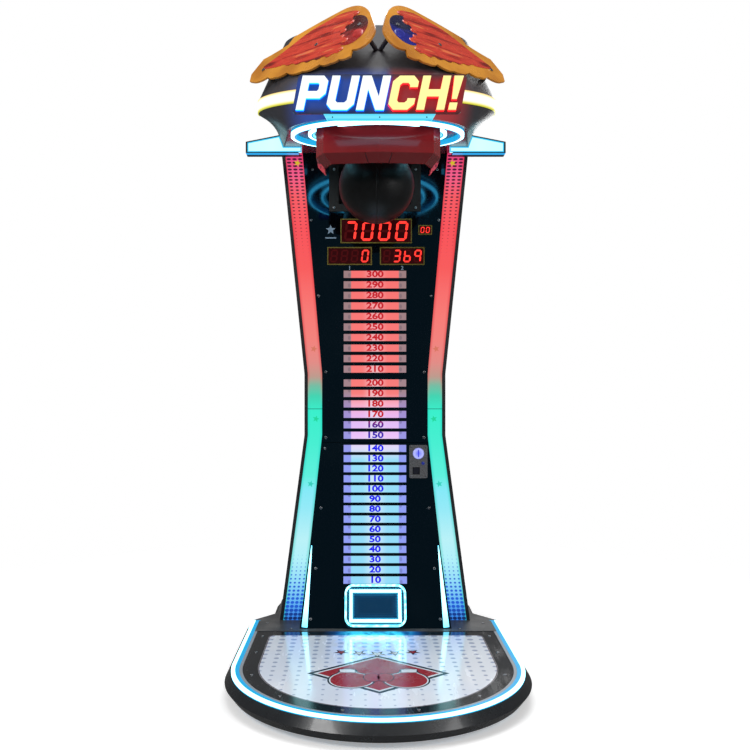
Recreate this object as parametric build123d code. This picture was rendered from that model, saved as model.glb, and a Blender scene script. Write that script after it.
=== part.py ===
from build123d import *
from math import atan2, cos, degrees, hypot, radians, sin, tan
import os

os.makedirs("parts", exist_ok=True)

# Boxing punch machine. Millimetres. The origin is on the floor under the middle of the
# machine: X to the right of a player who faces it, Y towards its back, Z up.

# ---- Platform ----
BASE_HALF = 450.0          # half width, and the radius of the round front
BASE_LENGTH = 1250.0       # round front to rear edge, without the skirt's bulge
REAR_HALF = 370.0          # half width of the narrower part under the cabinet
REAR_CORNER = 100.0        # how far back each rear corner slants
SKIRT_BULGE = 20.0
SKIRT_WALL = 14.0
SKIRT_BOTTOM = 20.0
SKIRT_FOLD = 46.0
SKIRT_TOP = 71.0
FRAME_BOTTOM = 25.0
TUBE = 40.0
TUBE_WALL = 2.5
DECK_THICK = 10.0
FLOOR_THICK = 3.0
REAR_DECK_THICK = 5.0
REAR_DECK_REACH = 137.0    # in front of the cabinet's face
LIGHT_WIDTH = 24.0
LIGHT_STAND = 0.8          # light strip above the floor panel's trim
TRIM_WIDTH = 9.5
SLIP = 0.5                 # clearance round loose-fitted flat parts
FOOT_RADIUS = 25.0
FOOT_PAD = 12.0
STUD_RADIUS = 6.0

# ---- Cabinet ----
FACE_SETBACK = 310.0       # from the rear edge forward to the cabinet's face
CAB_DEPTH = 304.0
FOOT_HALF = 350.0          # half widths of the hourglass: at the deck, waist and top
WAIST_HALF = 259.5
TOP_HALF = 342.0
WAIST_LOW = 761.0
WAIST_HIGH = 986.0
TOP_Z = 1786.0
SIDE_THICK = 12.0
FLANGE_WIDTH = 78.0
FLANGE_THICK = 4.0
INNER_FOOT = 270.0         # half widths of the black panel between the light strips
INNER_WAIST = 195.0
INNER_TOP = 266.0
FACE_INSET = 2.0           # panel and strips behind the side panels' front edges
PANEL_THICK = 6.0
PANEL_SEAM = 734.0
STRIP_SEAM = 858.0
SEAM_GAP = 1.5
BEND_Z = 359.0             # where the lower panel starts to lean forward
WEDGE_REACH = 112.0        # how far its foot stands in front of the face
BACK_THICK = 4.0

# ---- Score meter and displays ----
BAR_WIDTH = 230.0
BAR_HEIGHT = 26.0
BAR_THICK = 1.5
HIGH_BARS = (1353.6, 38.8, 10)     # top centre, pitch, count
MIDDLE_BARS = (953.4, 38.5, 6)
LOW_BARS = (712.2, 37.2, 14)
DISPLAYS = [                       # centre x, centre z, width, height
    (4.5, 1513.0, 255.0, 82.5),
    (-93.4, 1421.0, 156.5, 58.0),
    (100.5, 1421.0, 156.5, 58.0),
    (185.0, 1517.0, 43.0, 28.0),
]
DISPLAY_THICK = 2.0
BEZEL_WIDTH = 4.0
BEZEL_THICK = 2.8

# ---- Ball opening and swing ----
FRAME_HALF = 169.0
FRAME_LOW = 1585.0
OPENING_HALF = 134.0
OPENING_LOW = 1612.0
OPENING_FRAME_THICK = 3.0
BALL_RADIUS = 125.0
BALL_Z = 1607.0
BALL_SETOUT = 304.0        # ball centre in front of the cabinet's face
ARM_LENGTH = 280.0         # pivot to ball centre
ARM_RADIUS = 12.0
SHAFT_RADIUS = 12.5
RUNNING_FIT = 0.05
HUB_SIDE = 52.0
HUB_WIDTH = 70.0
RAIL_X = 170.0
BEARING_DROP = 40.0        # shaft centre above the rails' top
SWING_FORWARD = 8.0        # degrees
SWING_BACK = 88.0

# ---- Head ----
RING_SETOUT = 444.0        # ring centre in front of the cabinet's face
RING_Z = 1741.0
RING_TILT = 7.5
RING_OUTER = 272.0
RING_BAND = 16.0
INNER_RING = 218.0
INNER_RING_BAND = 14.0
HEAD_FLOOR_THICK = 5.0
COWL_WALL = 5.0
NECK_HALF = 284.0
NECK_NOSE = 724.0          # nose of the lower edge in front of the cabinet's face
BAND_HALF = 396.0
BAND_SETOUT = 230.0        # widest place in front of the cabinet's face
BAND_NOSE = 735.0
BAND_Z = 1863.0            # lower edge of the light band at its widest place
BAND_TILT = 12.7
BAND_HEIGHT = 40.0
ROOF_HALF = 312.0
ROOF_NOSE = 415.0
ROOF_Z = 2094.0
ROOF_TILT = 2.0
SIGN_GAP = 10.0            # sign's backplate in front of the band's nose
SIGN_PLATE = 6.0
LETTER_THICK = 12.0
LETTER_HEIGHT = 95.0
LETTER_GAP = 9.0
LETTER_SLANT = 12.0
SIGN_Z = 1710.0
BOARD_THICK = 6.0
BOARD_SETOUT = 675.0       # the boards' own plane in front of the cabinet's face
WING_DEPTH = 50.0
VISOR_WALL = 4.0
VISOR_SETOUT = 150.0       # open rear edge in front of the ball's centre
VISOR_BOTTOM = 1603.0
VISOR_FOLD = 1629.0

# ---- Coin plate ----
COIN_X = 160.0
COIN_Z = 664.0
COIN_WIDTH = 67.0
COIN_HEIGHT = 122.0
COIN_THICK = 3.0
ENTRY_RADIUS = 21.0
BUTTON_RADIUS = 6.0
CUP_WIDTH = 30.0
CUP_HEIGHT = 30.0
CUP_DEPTH = 28.0
CUP_WALL = 1.5

# ---- LED window ----
WINDOW_WIDTH = 218.0
WINDOW_HEIGHT = 148.0
WINDOW_DEPTH = 26.0
WINDOW_CORNER = 32.0
NEON = 7.0
LED_WIDTH = 10.0
WINDOW_DROP = 224.0        # centre below the bend, along the leaning panel

# ---- Service door ----
DOOR_HALF = 165.0
DOOR_LOW = 150.0
DOOR_HIGH = 650.0
DOOR_THICK = 3.0
DOOR_LAP = 20.0
HINGE_RADIUS = 6.0
PIN_RADIUS = 3.95
PIN_BORE = 4.0
LOCK_RADIUS = 9.0

# ---- Screws ----
SCREW_HEAD = 5.0
SCREW_CAP = 2.4
SCREW_SHANK = 2.4
SCREW_HOLE = 2.6

# ---- Places worked out from the sizes above ----
FRONT_Y = -BASE_LENGTH / 2
REAR_Y = BASE_LENGTH / 2
ARC_Y = FRONT_Y + BASE_HALF
FACE_Y = REAR_Y - FACE_SETBACK
BACK_Y = FACE_Y + CAB_DEPTH
DECK_Z = FRAME_BOTTOM + TUBE
DECK_TOP = DECK_Z + DECK_THICK
CAB_Z = DECK_TOP + REAR_DECK_THICK
DECK_FRONT = FACE_Y - REAR_DECK_REACH
PANEL_Y = FACE_Y + FACE_INSET
FLANGE_Y = PANEL_Y + PANEL_THICK
BALL_Y = FACE_Y - BALL_SETOUT
PIVOT_Z = BALL_Z + ARM_LENGTH
RAIL_TOP = PIVOT_Z - BEARING_DROP
RING_Y = FACE_Y - RING_SETOUT
BAND_Y = FACE_Y - BAND_SETOUT
ROOF_Y = FACE_Y - ROOF_NOSE
LEAN = degrees(atan2(WEDGE_REACH, BEND_Z - CAB_Z))
SLOPE = hypot(WEDGE_REACH, BEND_Z - CAB_Z)
LEANING = Pos(0, PANEL_Y, BEND_Z) * Rot(-LEAN, 0, 0)
RING_FRAME = Pos(0, RING_Y, RING_Z) * Rot(RING_TILT, 0, 0)
SIGN_Y = FACE_Y - BAND_NOSE - SIGN_GAP
UPRIGHT_Y = BACK_Y - BACK_THICK - TUBE / 2 - 15.0


# ---- Shape helpers ----
def block(x, y, z):
    """A box from (low, high) pairs along each axis."""
    size = [high - low for low, high in (x, y, z)]
    middle = [(high + low) / 2 for low, high in (x, y, z)]
    return Pos(*middle) * Box(*size)


def rod_x(radius, x, y, z):
    return Pos((x[0] + x[1]) / 2, y, z) * Rot(0, 90, 0) * Cylinder(radius, x[1] - x[0])


def rod_y(radius, x, y, z):
    return Pos(x, (y[0] + y[1]) / 2, z) * Rot(90, 0, 0) * Cylinder(radius, y[1] - y[0])


def rod_z(radius, x, y, z):
    return Pos(x, y, (z[0] + z[1]) / 2) * Cylinder(radius, z[1] - z[0])


def prism_y(points, y):
    """A polygon of (x, z) corners, pushed from y[0] to y[1]."""
    face = make_face(Polyline(*[(x, y[0], z) for x, z in points], close=True))
    return extrude(face, y[1] - y[0], dir=(0, 1, 0))


def prism_x(points, x):
    """A polygon of (y, z) corners, pushed from x[0] to x[1]."""
    face = make_face(Polyline(*[(x[0], y, z) for y, z in points], close=True))
    return extrude(face, x[1] - x[0], dir=(1, 0, 0))


def mirrored(shape):
    return mirror(shape, Plane.YZ)


def save(node, *shapes):
    """Write every solid of the shapes as one node."""
    solids = [solid for shape in shapes for solid in shape.solids()]
    export_step(Compound(solids), f"parts/{node}.step")


def box_tube(x, y, z, along):
    """A square tube, open at both ends, along axis number 0, 1 or 2."""
    spans = [x, y, z]
    inner = [
        span if axis == along else (span[0] + TUBE_WALL, span[1] - TUBE_WALL)
        for axis, span in enumerate(spans)
    ]
    return block(*spans) - block(*inner)


def screw(x, y, z, length):
    """A button-head screw that goes in along +Y at a surface at y."""
    head = rod_y(SCREW_HEAD, x, (y - SCREW_CAP, y), z)
    head = fillet(head.faces().sort_by(Axis.Y)[0].edges(), SCREW_CAP * 0.6)
    return head + rod_y(SCREW_SHANK, x, (y, y + length), z)


# ---- Outlines ----
def base_outline(z, grow=0.0):
    """The platform's plan at height z, grown outwards: round front, slanted rear corners."""
    half = BASE_HALF + grow
    rear = REAR_HALF + grow
    back = REAR_Y + grow
    slant = hypot(BASE_HALF - REAR_HALF, REAR_CORNER)
    shift = grow * (slant - REAR_CORNER) / (BASE_HALF - REAR_HALF)
    corner = FACE_Y + shift
    start = FACE_Y + REAR_CORNER + shift
    nose = CenterArc((0, ARC_Y, z), half, 180, 180)
    sides = Polyline(
        (half, ARC_Y, z), (half, corner, z), (rear, start, z), (rear, back, z),
        (-rear, back, z), (-rear, start, z), (-half, corner, z), (-half, ARC_Y, z),
    )
    return make_face([nose, *sides.edges()])


def base_slab(z, grow=0.0):
    return extrude(base_outline(z[0], grow), z[1] - z[0], dir=(0, 0, 1))


def hourglass(foot, waist, top, z):
    """Corners of one side's outline, from z[0] up to z[1], as (half width, height)."""
    levels = [(CAB_Z, foot), (WAIST_LOW, waist), (WAIST_HIGH, waist), (TOP_Z, top)]

    def half_at(height):
        for (low, a), (high, b) in zip(levels, levels[1:]):
            if height <= high or high == TOP_Z:
                return a + (b - a) * (height - low) / (high - low)

    inside = [level for level, _ in levels if z[0] < level < z[1]]
    return [(half_at(level), level) for level in [z[0], *inside, z[1]]]


def side_band(outer, inner, y, z):
    """A band on the right side between two hourglass lines."""
    points = hourglass(*outer, z) + hourglass(*inner, z)[::-1]
    return prism_y(points, y)


def face_panel(line, y, z):
    """A panel across the middle, inside one hourglass line."""
    right = hourglass(*line, z)
    return prism_y(right + [(-x, level) for x, level in right[::-1]], y)


OUTER_LINE = (FOOT_HALF, WAIST_HALF, TOP_HALF)
SIDE_LINE = tuple(half - SIDE_THICK for half in OUTER_LINE)
INNER_LINE = (INNER_FOOT, INNER_WAIST, INNER_TOP)
STRIP_LINE = tuple(half - SLIP for half in SIDE_LINE)
PANEL_LINE = tuple(half - SLIP for half in INNER_LINE)
LIFT = 60.0                # rough length above the top, before the head's plane cuts it


def head_side():
    """Everything above the head's tilted lower plane."""
    return RING_FRAME * block((-700, 700), (-900, 900), (0, 700))


def under_head(shape):
    return shape - head_side()


# ---- Platform pieces ----
def base_frame():
    low, high = FRAME_BOTTOM, DECK_Z
    z = (low, high)
    rails = (-450.0, 590.0)
    tubes = []
    for side in (-1, 1):
        x = sorted((side * 280.0, side * (280.0 + TUBE)))
        tubes.append(box_tube(x, rails, z, 1))
        for y in (-120.0, 160.0):
            arm = sorted((side * (280.0 + TUBE), side * 415.0))
            tubes.append(box_tube(arm, (y, y + TUBE), z, 0))
    for y in (-450.0, -120.0, 160.0, 550.0):
        tubes.append(box_tube((-280.0, 280.0), (y, y + TUBE), z, 0))
    tubes.append(box_tube((-TUBE / 2, TUBE / 2), (-590.0, -450.0), z, 1))
    save("base_frame", *tubes)


FEET = [(x, y) for x in (-300.0, 300.0) for y in (-400.0, 80.0, 540.0)]


def levelling_feet():
    feet = []
    for x, y in FEET:
        pad = rod_z(FOOT_RADIUS, x, y, (0, FOOT_PAD))
        pad = fillet(pad.faces().sort_by(Axis.Z)[-1].edges(), 4.0)
        stud = rod_z(STUD_RADIUS, x, y, (FOOT_PAD, FRAME_BOTTOM))
        nut = extrude(Pos(x, y, FRAME_BOTTOM - 6) * RegularPolygon(10.0, 6), 6)
        feet += [pad, stud + nut]
    save("levelling_feet", *feet)


def base_skirt():
    lower = loft([base_outline(SKIRT_BOTTOM), base_outline(SKIRT_FOLD, SKIRT_BULGE)], ruled=True)
    upper = loft([base_outline(SKIRT_FOLD, SKIRT_BULGE), base_outline(SKIRT_TOP)], ruled=True)
    inside = base_slab((SKIRT_BOTTOM - 1, SKIRT_TOP + 1), -SKIRT_WALL)
    save("base_skirt", lower + upper - inside)


def front_only(back):
    return block((-600, 600), (-700, back), (0, 200))


def platform_light():
    top = DECK_TOP + FLOOR_THICK + LIGHT_STAND + 1.2
    ring = base_slab((SKIRT_TOP, top)) - base_slab((SKIRT_TOP - 1, top + 1), -LIGHT_WIDTH)
    save("platform_light", ring & front_only(FACE_Y))


def deck():
    inset = LIGHT_WIDTH + SLIP
    save("deck_board", base_slab((DECK_Z, DECK_TOP), -inset - SLIP))
    trim_top = DECK_TOP + FLOOR_THICK + LIGHT_STAND
    trim = base_slab((DECK_TOP, trim_top), -inset)
    trim -= base_slab((DECK_TOP - 1, trim_top + 1), -inset - TRIM_WIDTH)
    save("floor_trim", trim & front_only(DECK_FRONT - SLIP))
    panel = base_slab((DECK_TOP, DECK_TOP + FLOOR_THICK), -inset - TRIM_WIDTH - SLIP)
    panel &= front_only(DECK_FRONT - SLIP)
    plate = base_slab((DECK_TOP, CAB_Z), -inset) - front_only(DECK_FRONT)
    rim = base_slab((SKIRT_TOP, CAB_Z)) - base_slab((SKIRT_TOP - 1, DECK_TOP), -inset)
    plate += rim - front_only(FACE_Y + SLIP)
    screws = []
    for x, y in floor_screw_places():
        hole = rod_z(SCREW_HOLE, x, y, (DECK_TOP - 1, CAB_Z + 1))
        panel -= hole
        plate -= hole
        top = CAB_Z if y > DECK_FRONT else DECK_TOP + FLOOR_THICK
        head = rod_z(SCREW_HEAD, x, y, (top, top + SCREW_CAP))
        head = fillet(head.faces().sort_by(Axis.Z)[-1].edges(), SCREW_CAP * 0.6)
        screws.append(head + rod_z(SCREW_SHANK, x, y, (DECK_TOP, top)))
    save("floor_panel", panel)
    save("rear_deck", plate)
    save("floor_screws", *screws)


def floor_screw_places():
    edge = BASE_HALF - LIGHT_WIDTH - TRIM_WIDTH - 24.0
    places = [(side * edge, y) for side in (-1, 1) for y in (-60.0, 120.0)]
    for angle in range(195, 346, 30):
        places.append((edge * cos(radians(angle)), ARC_Y + edge * sin(radians(angle))))
    places += [(side * edge, FACE_Y - 40.0) for side in (-1, 1)]
    places += [(side * (INNER_FOOT + 30.0), DECK_FRONT + 30.0) for side in (-1, 1)]
    return places


# ---- Cabinet pieces ----
PANEL_SCREWS = [(230.0, 1740.0), (235.0, 1553.0), (207.0, 1274.0), (181.0, 994.0), (181.0, 752.0)]
LOW_SCREWS = [(184.0, 712.0), (199.0, 493.0)]
FOOT_SCREWS = [(216.0, 88.0), (231.0, 268.0)]    # half x, and place along the leaning panel


def coin_cutout():
    """The hole behind the coin plate, through the front panel and any flange behind it."""
    half_x = COIN_WIDTH / 2 - 8.5
    half_z = COIN_HEIGHT / 2 - 9
    y = (PANEL_Y - 1, FLANGE_Y + FLANGE_THICK + 1)
    return block((COIN_X - half_x, COIN_X + half_x), y, (COIN_Z - half_z, COIN_Z + half_z))


def flange_line():
    return tuple(half - FLANGE_WIDTH for half in OUTER_LINE)


def behind_coin_plate(x, z):
    reach = SCREW_HEAD + SLIP
    return abs(x - COIN_X) < COIN_WIDTH / 2 + reach and abs(z - COIN_Z) < COIN_HEIGHT / 2 + reach


def screw_tools(tool):
    """Panel screws, or the holes for them, on both sides of the upright panels."""
    places = [(side * x, z) for x, z in PANEL_SCREWS + LOW_SCREWS for side in (-1, 1)]
    return [tool(x, z) for x, z in places if not behind_coin_plate(x, z)]


def shank_hole(x, z):
    return rod_y(SCREW_HOLE, x, (PANEL_Y - 1, FLANGE_Y + FLANGE_THICK + 1), z)


def side_panels():
    z = (CAB_Z, TOP_Z + LIFT)
    panel = side_band(OUTER_LINE, SIDE_LINE, (FACE_Y, BACK_Y), z)
    panel += side_band(SIDE_LINE, flange_line(), (FLANGE_Y, FLANGE_Y + FLANGE_THICK), z)
    panel = under_head(panel) - coin_cutout()
    panel -= [shank_hole(x, z) for x, z in PANEL_SCREWS + LOW_SCREWS]
    save("side_panel_right", panel)
    save("side_panel_left", mirrored(panel))


def light_strips():
    y = (PANEL_Y, FLANGE_Y)
    lower = side_band(STRIP_LINE, INNER_LINE, y, (CAB_Z, STRIP_SEAM - SEAM_GAP / 2))
    upper = side_band(STRIP_LINE, INNER_LINE, y, (STRIP_SEAM + SEAM_GAP / 2, TOP_Z + LIFT))
    upper = under_head(upper)
    save("light_strip_right", lower, upper)
    save("light_strip_left", mirrored(lower), mirrored(upper))


def upper_panel():
    panel = under_head(face_panel(PANEL_LINE, (PANEL_Y, FLANGE_Y), (PANEL_SEAM + SEAM_GAP / 2, TOP_Z + LIFT)))
    edge = OPENING_HALF + 3
    panel -= block((-edge, edge), (PANEL_Y - 1, FLANGE_Y + 1), (OPENING_LOW - 3, TOP_Z + LIFT + 1))
    panel -= screw_tools(shank_hole)
    panel -= [rod_y(SCREW_HOLE, x, (PANEL_Y - 1, FLANGE_Y + 1), z) for x, z in FRAME_BOLTS]
    save("panel_upper", panel)


def leaning_slab(front, back):
    """A slab that lies along the leaning panel, from front to back of its face."""
    return LEANING * block((-400, 400), (front, back), (-SLOPE - 60, 0))


def lower_panel():
    upright = face_panel(PANEL_LINE, (PANEL_Y, FLANGE_Y), (BEND_Z, PANEL_SEAM - SEAM_GAP / 2))
    reach = (PANEL_Y - WEDGE_REACH - 10, FLANGE_Y)
    outline = face_panel(PANEL_LINE, reach, (CAB_Z, BEND_Z))
    leaning = outline & leaning_slab(0, PANEL_THICK)
    wedge = [(PANEL_Y, BEND_Z), (PANEL_Y - WEDGE_REACH, CAB_Z), (FLANGE_Y, CAB_Z), (FLANGE_Y, BEND_Z)]
    inner = tuple(half - PANEL_THICK for half in PANEL_LINE)
    cheek = side_band(PANEL_LINE, inner, reach, (CAB_Z, BEND_Z)) & prism_x(wedge, (0, 400))
    cheek -= leaning_slab(-20, PANEL_THICK)
    upright -= coin_cutout()
    upright -= screw_tools(shank_hole)
    for x, s in FOOT_SCREWS:
        for side in (-1, 1):
            leaning -= LEANING * rod_y(SCREW_HOLE, side * x, (-1, PANEL_THICK + 1), -s)
    save("panel_lower", upright, leaning, cheek, mirrored(cheek))


def wedge_lights():
    """The white bars that widen down both edges of the leaning panel."""
    shape = [(231.5, BEND_Z - 4), (234.5, BEND_Z - 4), (262.0, CAB_Z + 6), (242.0, CAB_Z + 4)]
    bar = prism_y(shape, (PANEL_Y - WEDGE_REACH - 20, PANEL_Y)) & leaning_slab(-3, 0)
    save("wedge_lights", bar, mirrored(bar))


def meter_bars():
    bars = []
    for top, pitch, count in (HIGH_BARS, MIDDLE_BARS, LOW_BARS):
        for step in range(count):
            z = top - pitch * step
            tile = Box(BAR_WIDTH, BAR_THICK, BAR_HEIGHT)
            if z > BEND_Z:
                bars.append(Pos(0, PANEL_Y - BAR_THICK / 2, z) * tile)
            else:
                bars.append(LEANING * Pos(0, -BAR_THICK / 2, z - BEND_Z) * tile)
    save("meter_bars", *bars)


def displays():
    windows = []
    bezels = []
    for x, z, width, height in DISPLAYS:
        windows.append(Pos(x, PANEL_Y - DISPLAY_THICK / 2, z) * Box(width, DISPLAY_THICK, height))
        place = Pos(x, PANEL_Y - BEZEL_THICK / 2, z)
        outer = Box(width + 2 * BEZEL_WIDTH, BEZEL_THICK, height + 2 * BEZEL_WIDTH)
        bezels.append(place * (outer - Box(width, BEZEL_THICK, height)))
    save("display_windows", *windows)
    save("display_bezels", *bezels)


def rounded_ring(width, height, radius, wall, y):
    """A rounded rectangular frame on the leaning panel; y runs out of its face."""
    frame = Plane(origin=(0, y[0], -WINDOW_DROP), x_dir=(1, 0, 0), z_dir=(0, 1, 0))
    outer = RectangleRounded(width, height, radius)
    inner = RectangleRounded(width - 2 * wall, height - 2 * wall, max(radius - wall, 2.0))
    return LEANING * extrude(frame * (outer - inner), y[1] - y[0])


def led_window():
    front = -WINDOW_DEPTH
    tray_wall = 4.0
    neon = rounded_ring(WINDOW_WIDTH, WINDOW_HEIGHT, WINDOW_CORNER, NEON, (front - NEON, front))
    tray = rounded_ring(WINDOW_WIDTH, WINDOW_HEIGHT, WINDOW_CORNER, tray_wall, (front, 0))
    width = WINDOW_WIDTH - 2 * tray_wall
    height = WINDOW_HEIGHT - 2 * tray_wall
    inset = 13.0
    leds = rounded_ring(width - 2 * inset, height - 2 * inset, 4.0, LED_WIDTH, (front + 6, -3))
    frame = Plane(origin=(0, front + 3, -WINDOW_DROP), x_dir=(1, 0, 0), z_dir=(0, 1, 0))
    corner = WINDOW_CORNER - tray_wall - SLIP / 2
    pane = RectangleRounded(width - SLIP, height - SLIP, corner)
    glass = LEANING * extrude(frame * pane, 3)
    plate = Plane(origin=(0, -3, -WINDOW_DROP), x_dir=(1, 0, 0), z_dir=(0, 1, 0))
    back = LEANING * extrude(plate * pane, 3)
    keep = block((-400, 400), (0, 500), (CAB_Z, 800))
    save("window_neon", neon & keep)
    save("window_tray", tray & keep, back & keep)
    save("window_leds", leds & keep)
    save("window_glass", glass & keep)


FRAME_BOLTS = [(side * 150.0, z) for side in (-1, 1) for z in (1599.0, 1740.0)]


def opening_frame():
    y = (PANEL_Y - OPENING_FRAME_THICK, PANEL_Y)
    frame = block((-FRAME_HALF, FRAME_HALF), y, (FRAME_LOW, TOP_Z + LIFT))
    frame -= block(
        (-OPENING_HALF, OPENING_HALF), (y[0] - 1, y[1] + 1), (OPENING_LOW, TOP_Z + LIFT + 1)
    )
    frame -= [rod_y(SCREW_HOLE, x, (y[0] - 1, y[1] + 1), z) for x, z in FRAME_BOLTS]
    save("ball_opening_frame", under_head(frame))


def panel_screws():
    screws = screw_tools(lambda x, z: screw(x, PANEL_Y, z, PANEL_THICK + FLANGE_THICK))
    screws += [
        screw(x, PANEL_Y - OPENING_FRAME_THICK, z, OPENING_FRAME_THICK + PANEL_THICK)
        for x, z in FRAME_BOLTS
    ]
    for x, s in FOOT_SCREWS:
        for side in (-1, 1):
            screws.append(LEANING * screw(side * x, 0, -s, PANEL_THICK))
    save("panel_screws", *screws)


def back_panel():
    z = (CAB_Z, TOP_Z + LIFT)
    line = tuple(half - SLIP for half in SIDE_LINE)
    panel = under_head(face_panel(line, (BACK_Y - BACK_THICK, BACK_Y), z))
    hole = DOOR_HALF - DOOR_LAP
    panel -= block((-hole, hole), (BACK_Y - 20, BACK_Y + 1), (DOOR_LOW + DOOR_LAP, DOOR_HIGH - DOOR_LAP))
    cup_x, cup_z = INLET_AT
    panel -= block((cup_x - 24, cup_x + 24), (BACK_Y - 20, BACK_Y + 1), (cup_z - 34, cup_z + 34))
    save("back_panel", panel)


def cabinet_frame():
    tubes = []
    half = TUBE / 2
    rear = (UPRIGHT_Y - half, UPRIGHT_Y + half)
    rail_low = RAIL_TOP - TUBE
    for side in (-1, 1):
        x = sorted((side * (RAIL_X - half), side * (RAIL_X + half)))
        tubes.append(box_tube(x, rear, (CAB_Z, rail_low), 2))
        tubes.append(box_tube(x, (RAIL_FRONT, rear[1]), (rail_low, RAIL_TOP), 1))
        post = sorted((side * (RAIL_X - 15), side * (RAIL_X + 15)))
        tubes.append(box_tube(post, (REAR_STOP_Y - 15, REAR_STOP_Y + 15), (RAIL_TOP, REAR_STOP_Z), 2))
    across = (-RAIL_X + half, RAIL_X - half)
    tubes.append(box_tube(across, rear, (rail_low, RAIL_TOP), 0))
    tubes.append(box_tube(across, rear, (DOOR_HIGH + 60, DOOR_HIGH + 60 + TUBE), 0))
    tubes.append(box_tube(across, (RAIL_FRONT, RAIL_FRONT + TUBE), (rail_low, RAIL_TOP), 0))
    tubes.append(box_tube(across, FRONT_STOP, (RAIL_TOP - 35, RAIL_TOP - 5), 0))
    bar = (-RAIL_X - 15, RAIL_X + 15)
    tubes.append(box_tube(bar, (REAR_STOP_Y - 15, REAR_STOP_Y + 15), (REAR_STOP_Z, REAR_STOP_Z + 30), 0))
    for side in (-1, 1):
        x = sorted((side * (RAIL_X - half), side * (RAIL_X + half)))
        hanger = block(x, (RAIL_FRONT, RAIL_FRONT + TUBE), (RING_Z - 60, rail_low))
        tubes.append(hanger & RING_FRAME * block((-400, 400), (-400, 400), (HEAD_FLOOR_THICK, 200)))
    save("cabinet_frame", *tubes)


RAIL_FRONT = BALL_Y - 161.0
ARM_LOW = PIVOT_Z - RAIL_TOP + 35.0           # depth below the pivot of the front stop's lower edge
STOP_GAP = 0.6
FRONT_FACE = BALL_Y - ARM_LOW * tan(radians(SWING_FORWARD)) - ARM_RADIUS / cos(radians(SWING_FORWARD))
BUMPER = 12.0
FRONT_STOP = (FRONT_FACE - STOP_GAP - BUMPER - 30.0, FRONT_FACE - STOP_GAP - BUMPER)
REAR_STOP_Y = BALL_Y + 109.0
REAR_DROP = tan(radians(90.0 - SWING_BACK))
REAR_FACE = PIVOT_Z - (REAR_STOP_Y - 15 - BALL_Y) * REAR_DROP + ARM_RADIUS / cos(radians(90.0 - SWING_BACK))
REAR_STOP_Z = REAR_FACE + STOP_GAP + BUMPER


def stop_bumpers():
    front = block((-20, 20), (FRONT_STOP[1], FRONT_STOP[1] + BUMPER), (RAIL_TOP - 35, RAIL_TOP - 5))
    rear = block((-20, 20), (REAR_STOP_Y - 15, REAR_STOP_Y + 15), (REAR_STOP_Z - BUMPER, REAR_STOP_Z))
    save("stop_bumpers", front, rear)


# ---- Swing pieces ----
def pivot():
    end = RAIL_X + TUBE / 2 + 4
    shaft = rod_x(SHAFT_RADIUS, (-end, end), BALL_Y, PIVOT_Z)
    spacers = []
    bearings = []
    width = 34.0
    for side in (-1, 1):
        span = sorted((side * (HUB_WIDTH / 2 + SLIP), side * (RAIL_X - width / 2)))
        sleeve = rod_x(18, span, BALL_Y, PIVOT_Z)
        spacers.append(sleeve - rod_x(SHAFT_RADIUS + RUNNING_FIT, (-end, end), BALL_Y, PIVOT_Z))
        x = (side * RAIL_X - width / 2, side * RAIL_X + width / 2)
        base = block(x, (BALL_Y - 62, BALL_Y + 62), (RAIL_TOP, RAIL_TOP + 14))
        post = block(x, (BALL_Y - 34, BALL_Y + 34), (RAIL_TOP, PIVOT_Z))
        bearing = base + post + rod_x(34, x, BALL_Y, PIVOT_Z)
        bearings.append(bearing - rod_x(SHAFT_RADIUS + RUNNING_FIT, (-end, end), BALL_Y, PIVOT_Z))
    save("pivot_shaft", shaft, *spacers)
    save("pillow_bearings", *bearings)


def swing():
    hub = Pos(0, BALL_Y, PIVOT_Z) * Box(HUB_WIDTH, HUB_SIDE, HUB_SIDE)
    hub -= rod_x(SHAFT_RADIUS + RUNNING_FIT, (-HUB_WIDTH, HUB_WIDTH), BALL_Y, PIVOT_Z)
    save("arm_hub", chamfer(hub.edges().filter_by(Axis.X).sort_by_distance((0, BALL_Y, PIVOT_Z))[-4:], 8))
    crown = BALL_Z + BALL_RADIUS - 4
    collar_top = crown + 18
    arm = rod_z(ARM_RADIUS, 0, BALL_Y, (collar_top, PIVOT_Z - HUB_SIDE / 2))
    collar = rod_z(28, 0, BALL_Y, (crown, collar_top))
    save("ball_arm", arm + collar)
    ball = Pos(0, BALL_Y, BALL_Z) * Sphere(BALL_RADIUS)
    save("punch_ball", ball - block((-60, 60), (BALL_Y - 60, BALL_Y + 60), (crown, crown + 40)))


# ---- Head pieces ----
def head_outline(place, tilt, half, wide_y, nose_y, back_half, inset=0.0):
    """The head's plan in a plane through place, tilted nose down: round nose, straight neck."""
    slope = cos(radians(tilt))
    local = [(y - place[0]) / slope for y in (wide_y, nose_y + inset, FACE_Y, 700.0)]
    wide, nose, face, back = local
    half -= inset
    rear = back_half - inset
    arc = EllipticalCenterArc((0, wide), half, wide - nose, start_angle=180, arc_size=180)
    sides = Polyline(
        (half, wide), (rear, face), (rear, back), (-rear, back), (-rear, face), (-half, wide)
    )
    return Pos(0, *place) * Rot(tilt, 0, 0) * make_face([arc, *sides.edges()])


def neck_edge(inset=0.0, lift=0.0):
    nose = FACE_Y - NECK_NOSE
    return head_outline((RING_Y, RING_Z + lift), RING_TILT, NECK_HALF, RING_Y, nose, TOP_HALF + 2, inset)


def band_edge(lift, inset=0.0):
    nose = FACE_Y - BAND_NOSE
    return head_outline((BAND_Y, BAND_Z + lift), BAND_TILT, BAND_HALF, BAND_Y, nose, TOP_HALF + 12, inset)


def roof_edge(lift=0.0, inset=0.0):
    return head_outline((ROOF_Y, ROOF_Z + lift), ROOF_TILT, ROOF_HALF, BAND_Y, ROOF_Y, 290.0, inset)


def before(y):
    """Everything in front of y."""
    return block((-600, 600), (-900, y), (1500, 2400))


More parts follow.
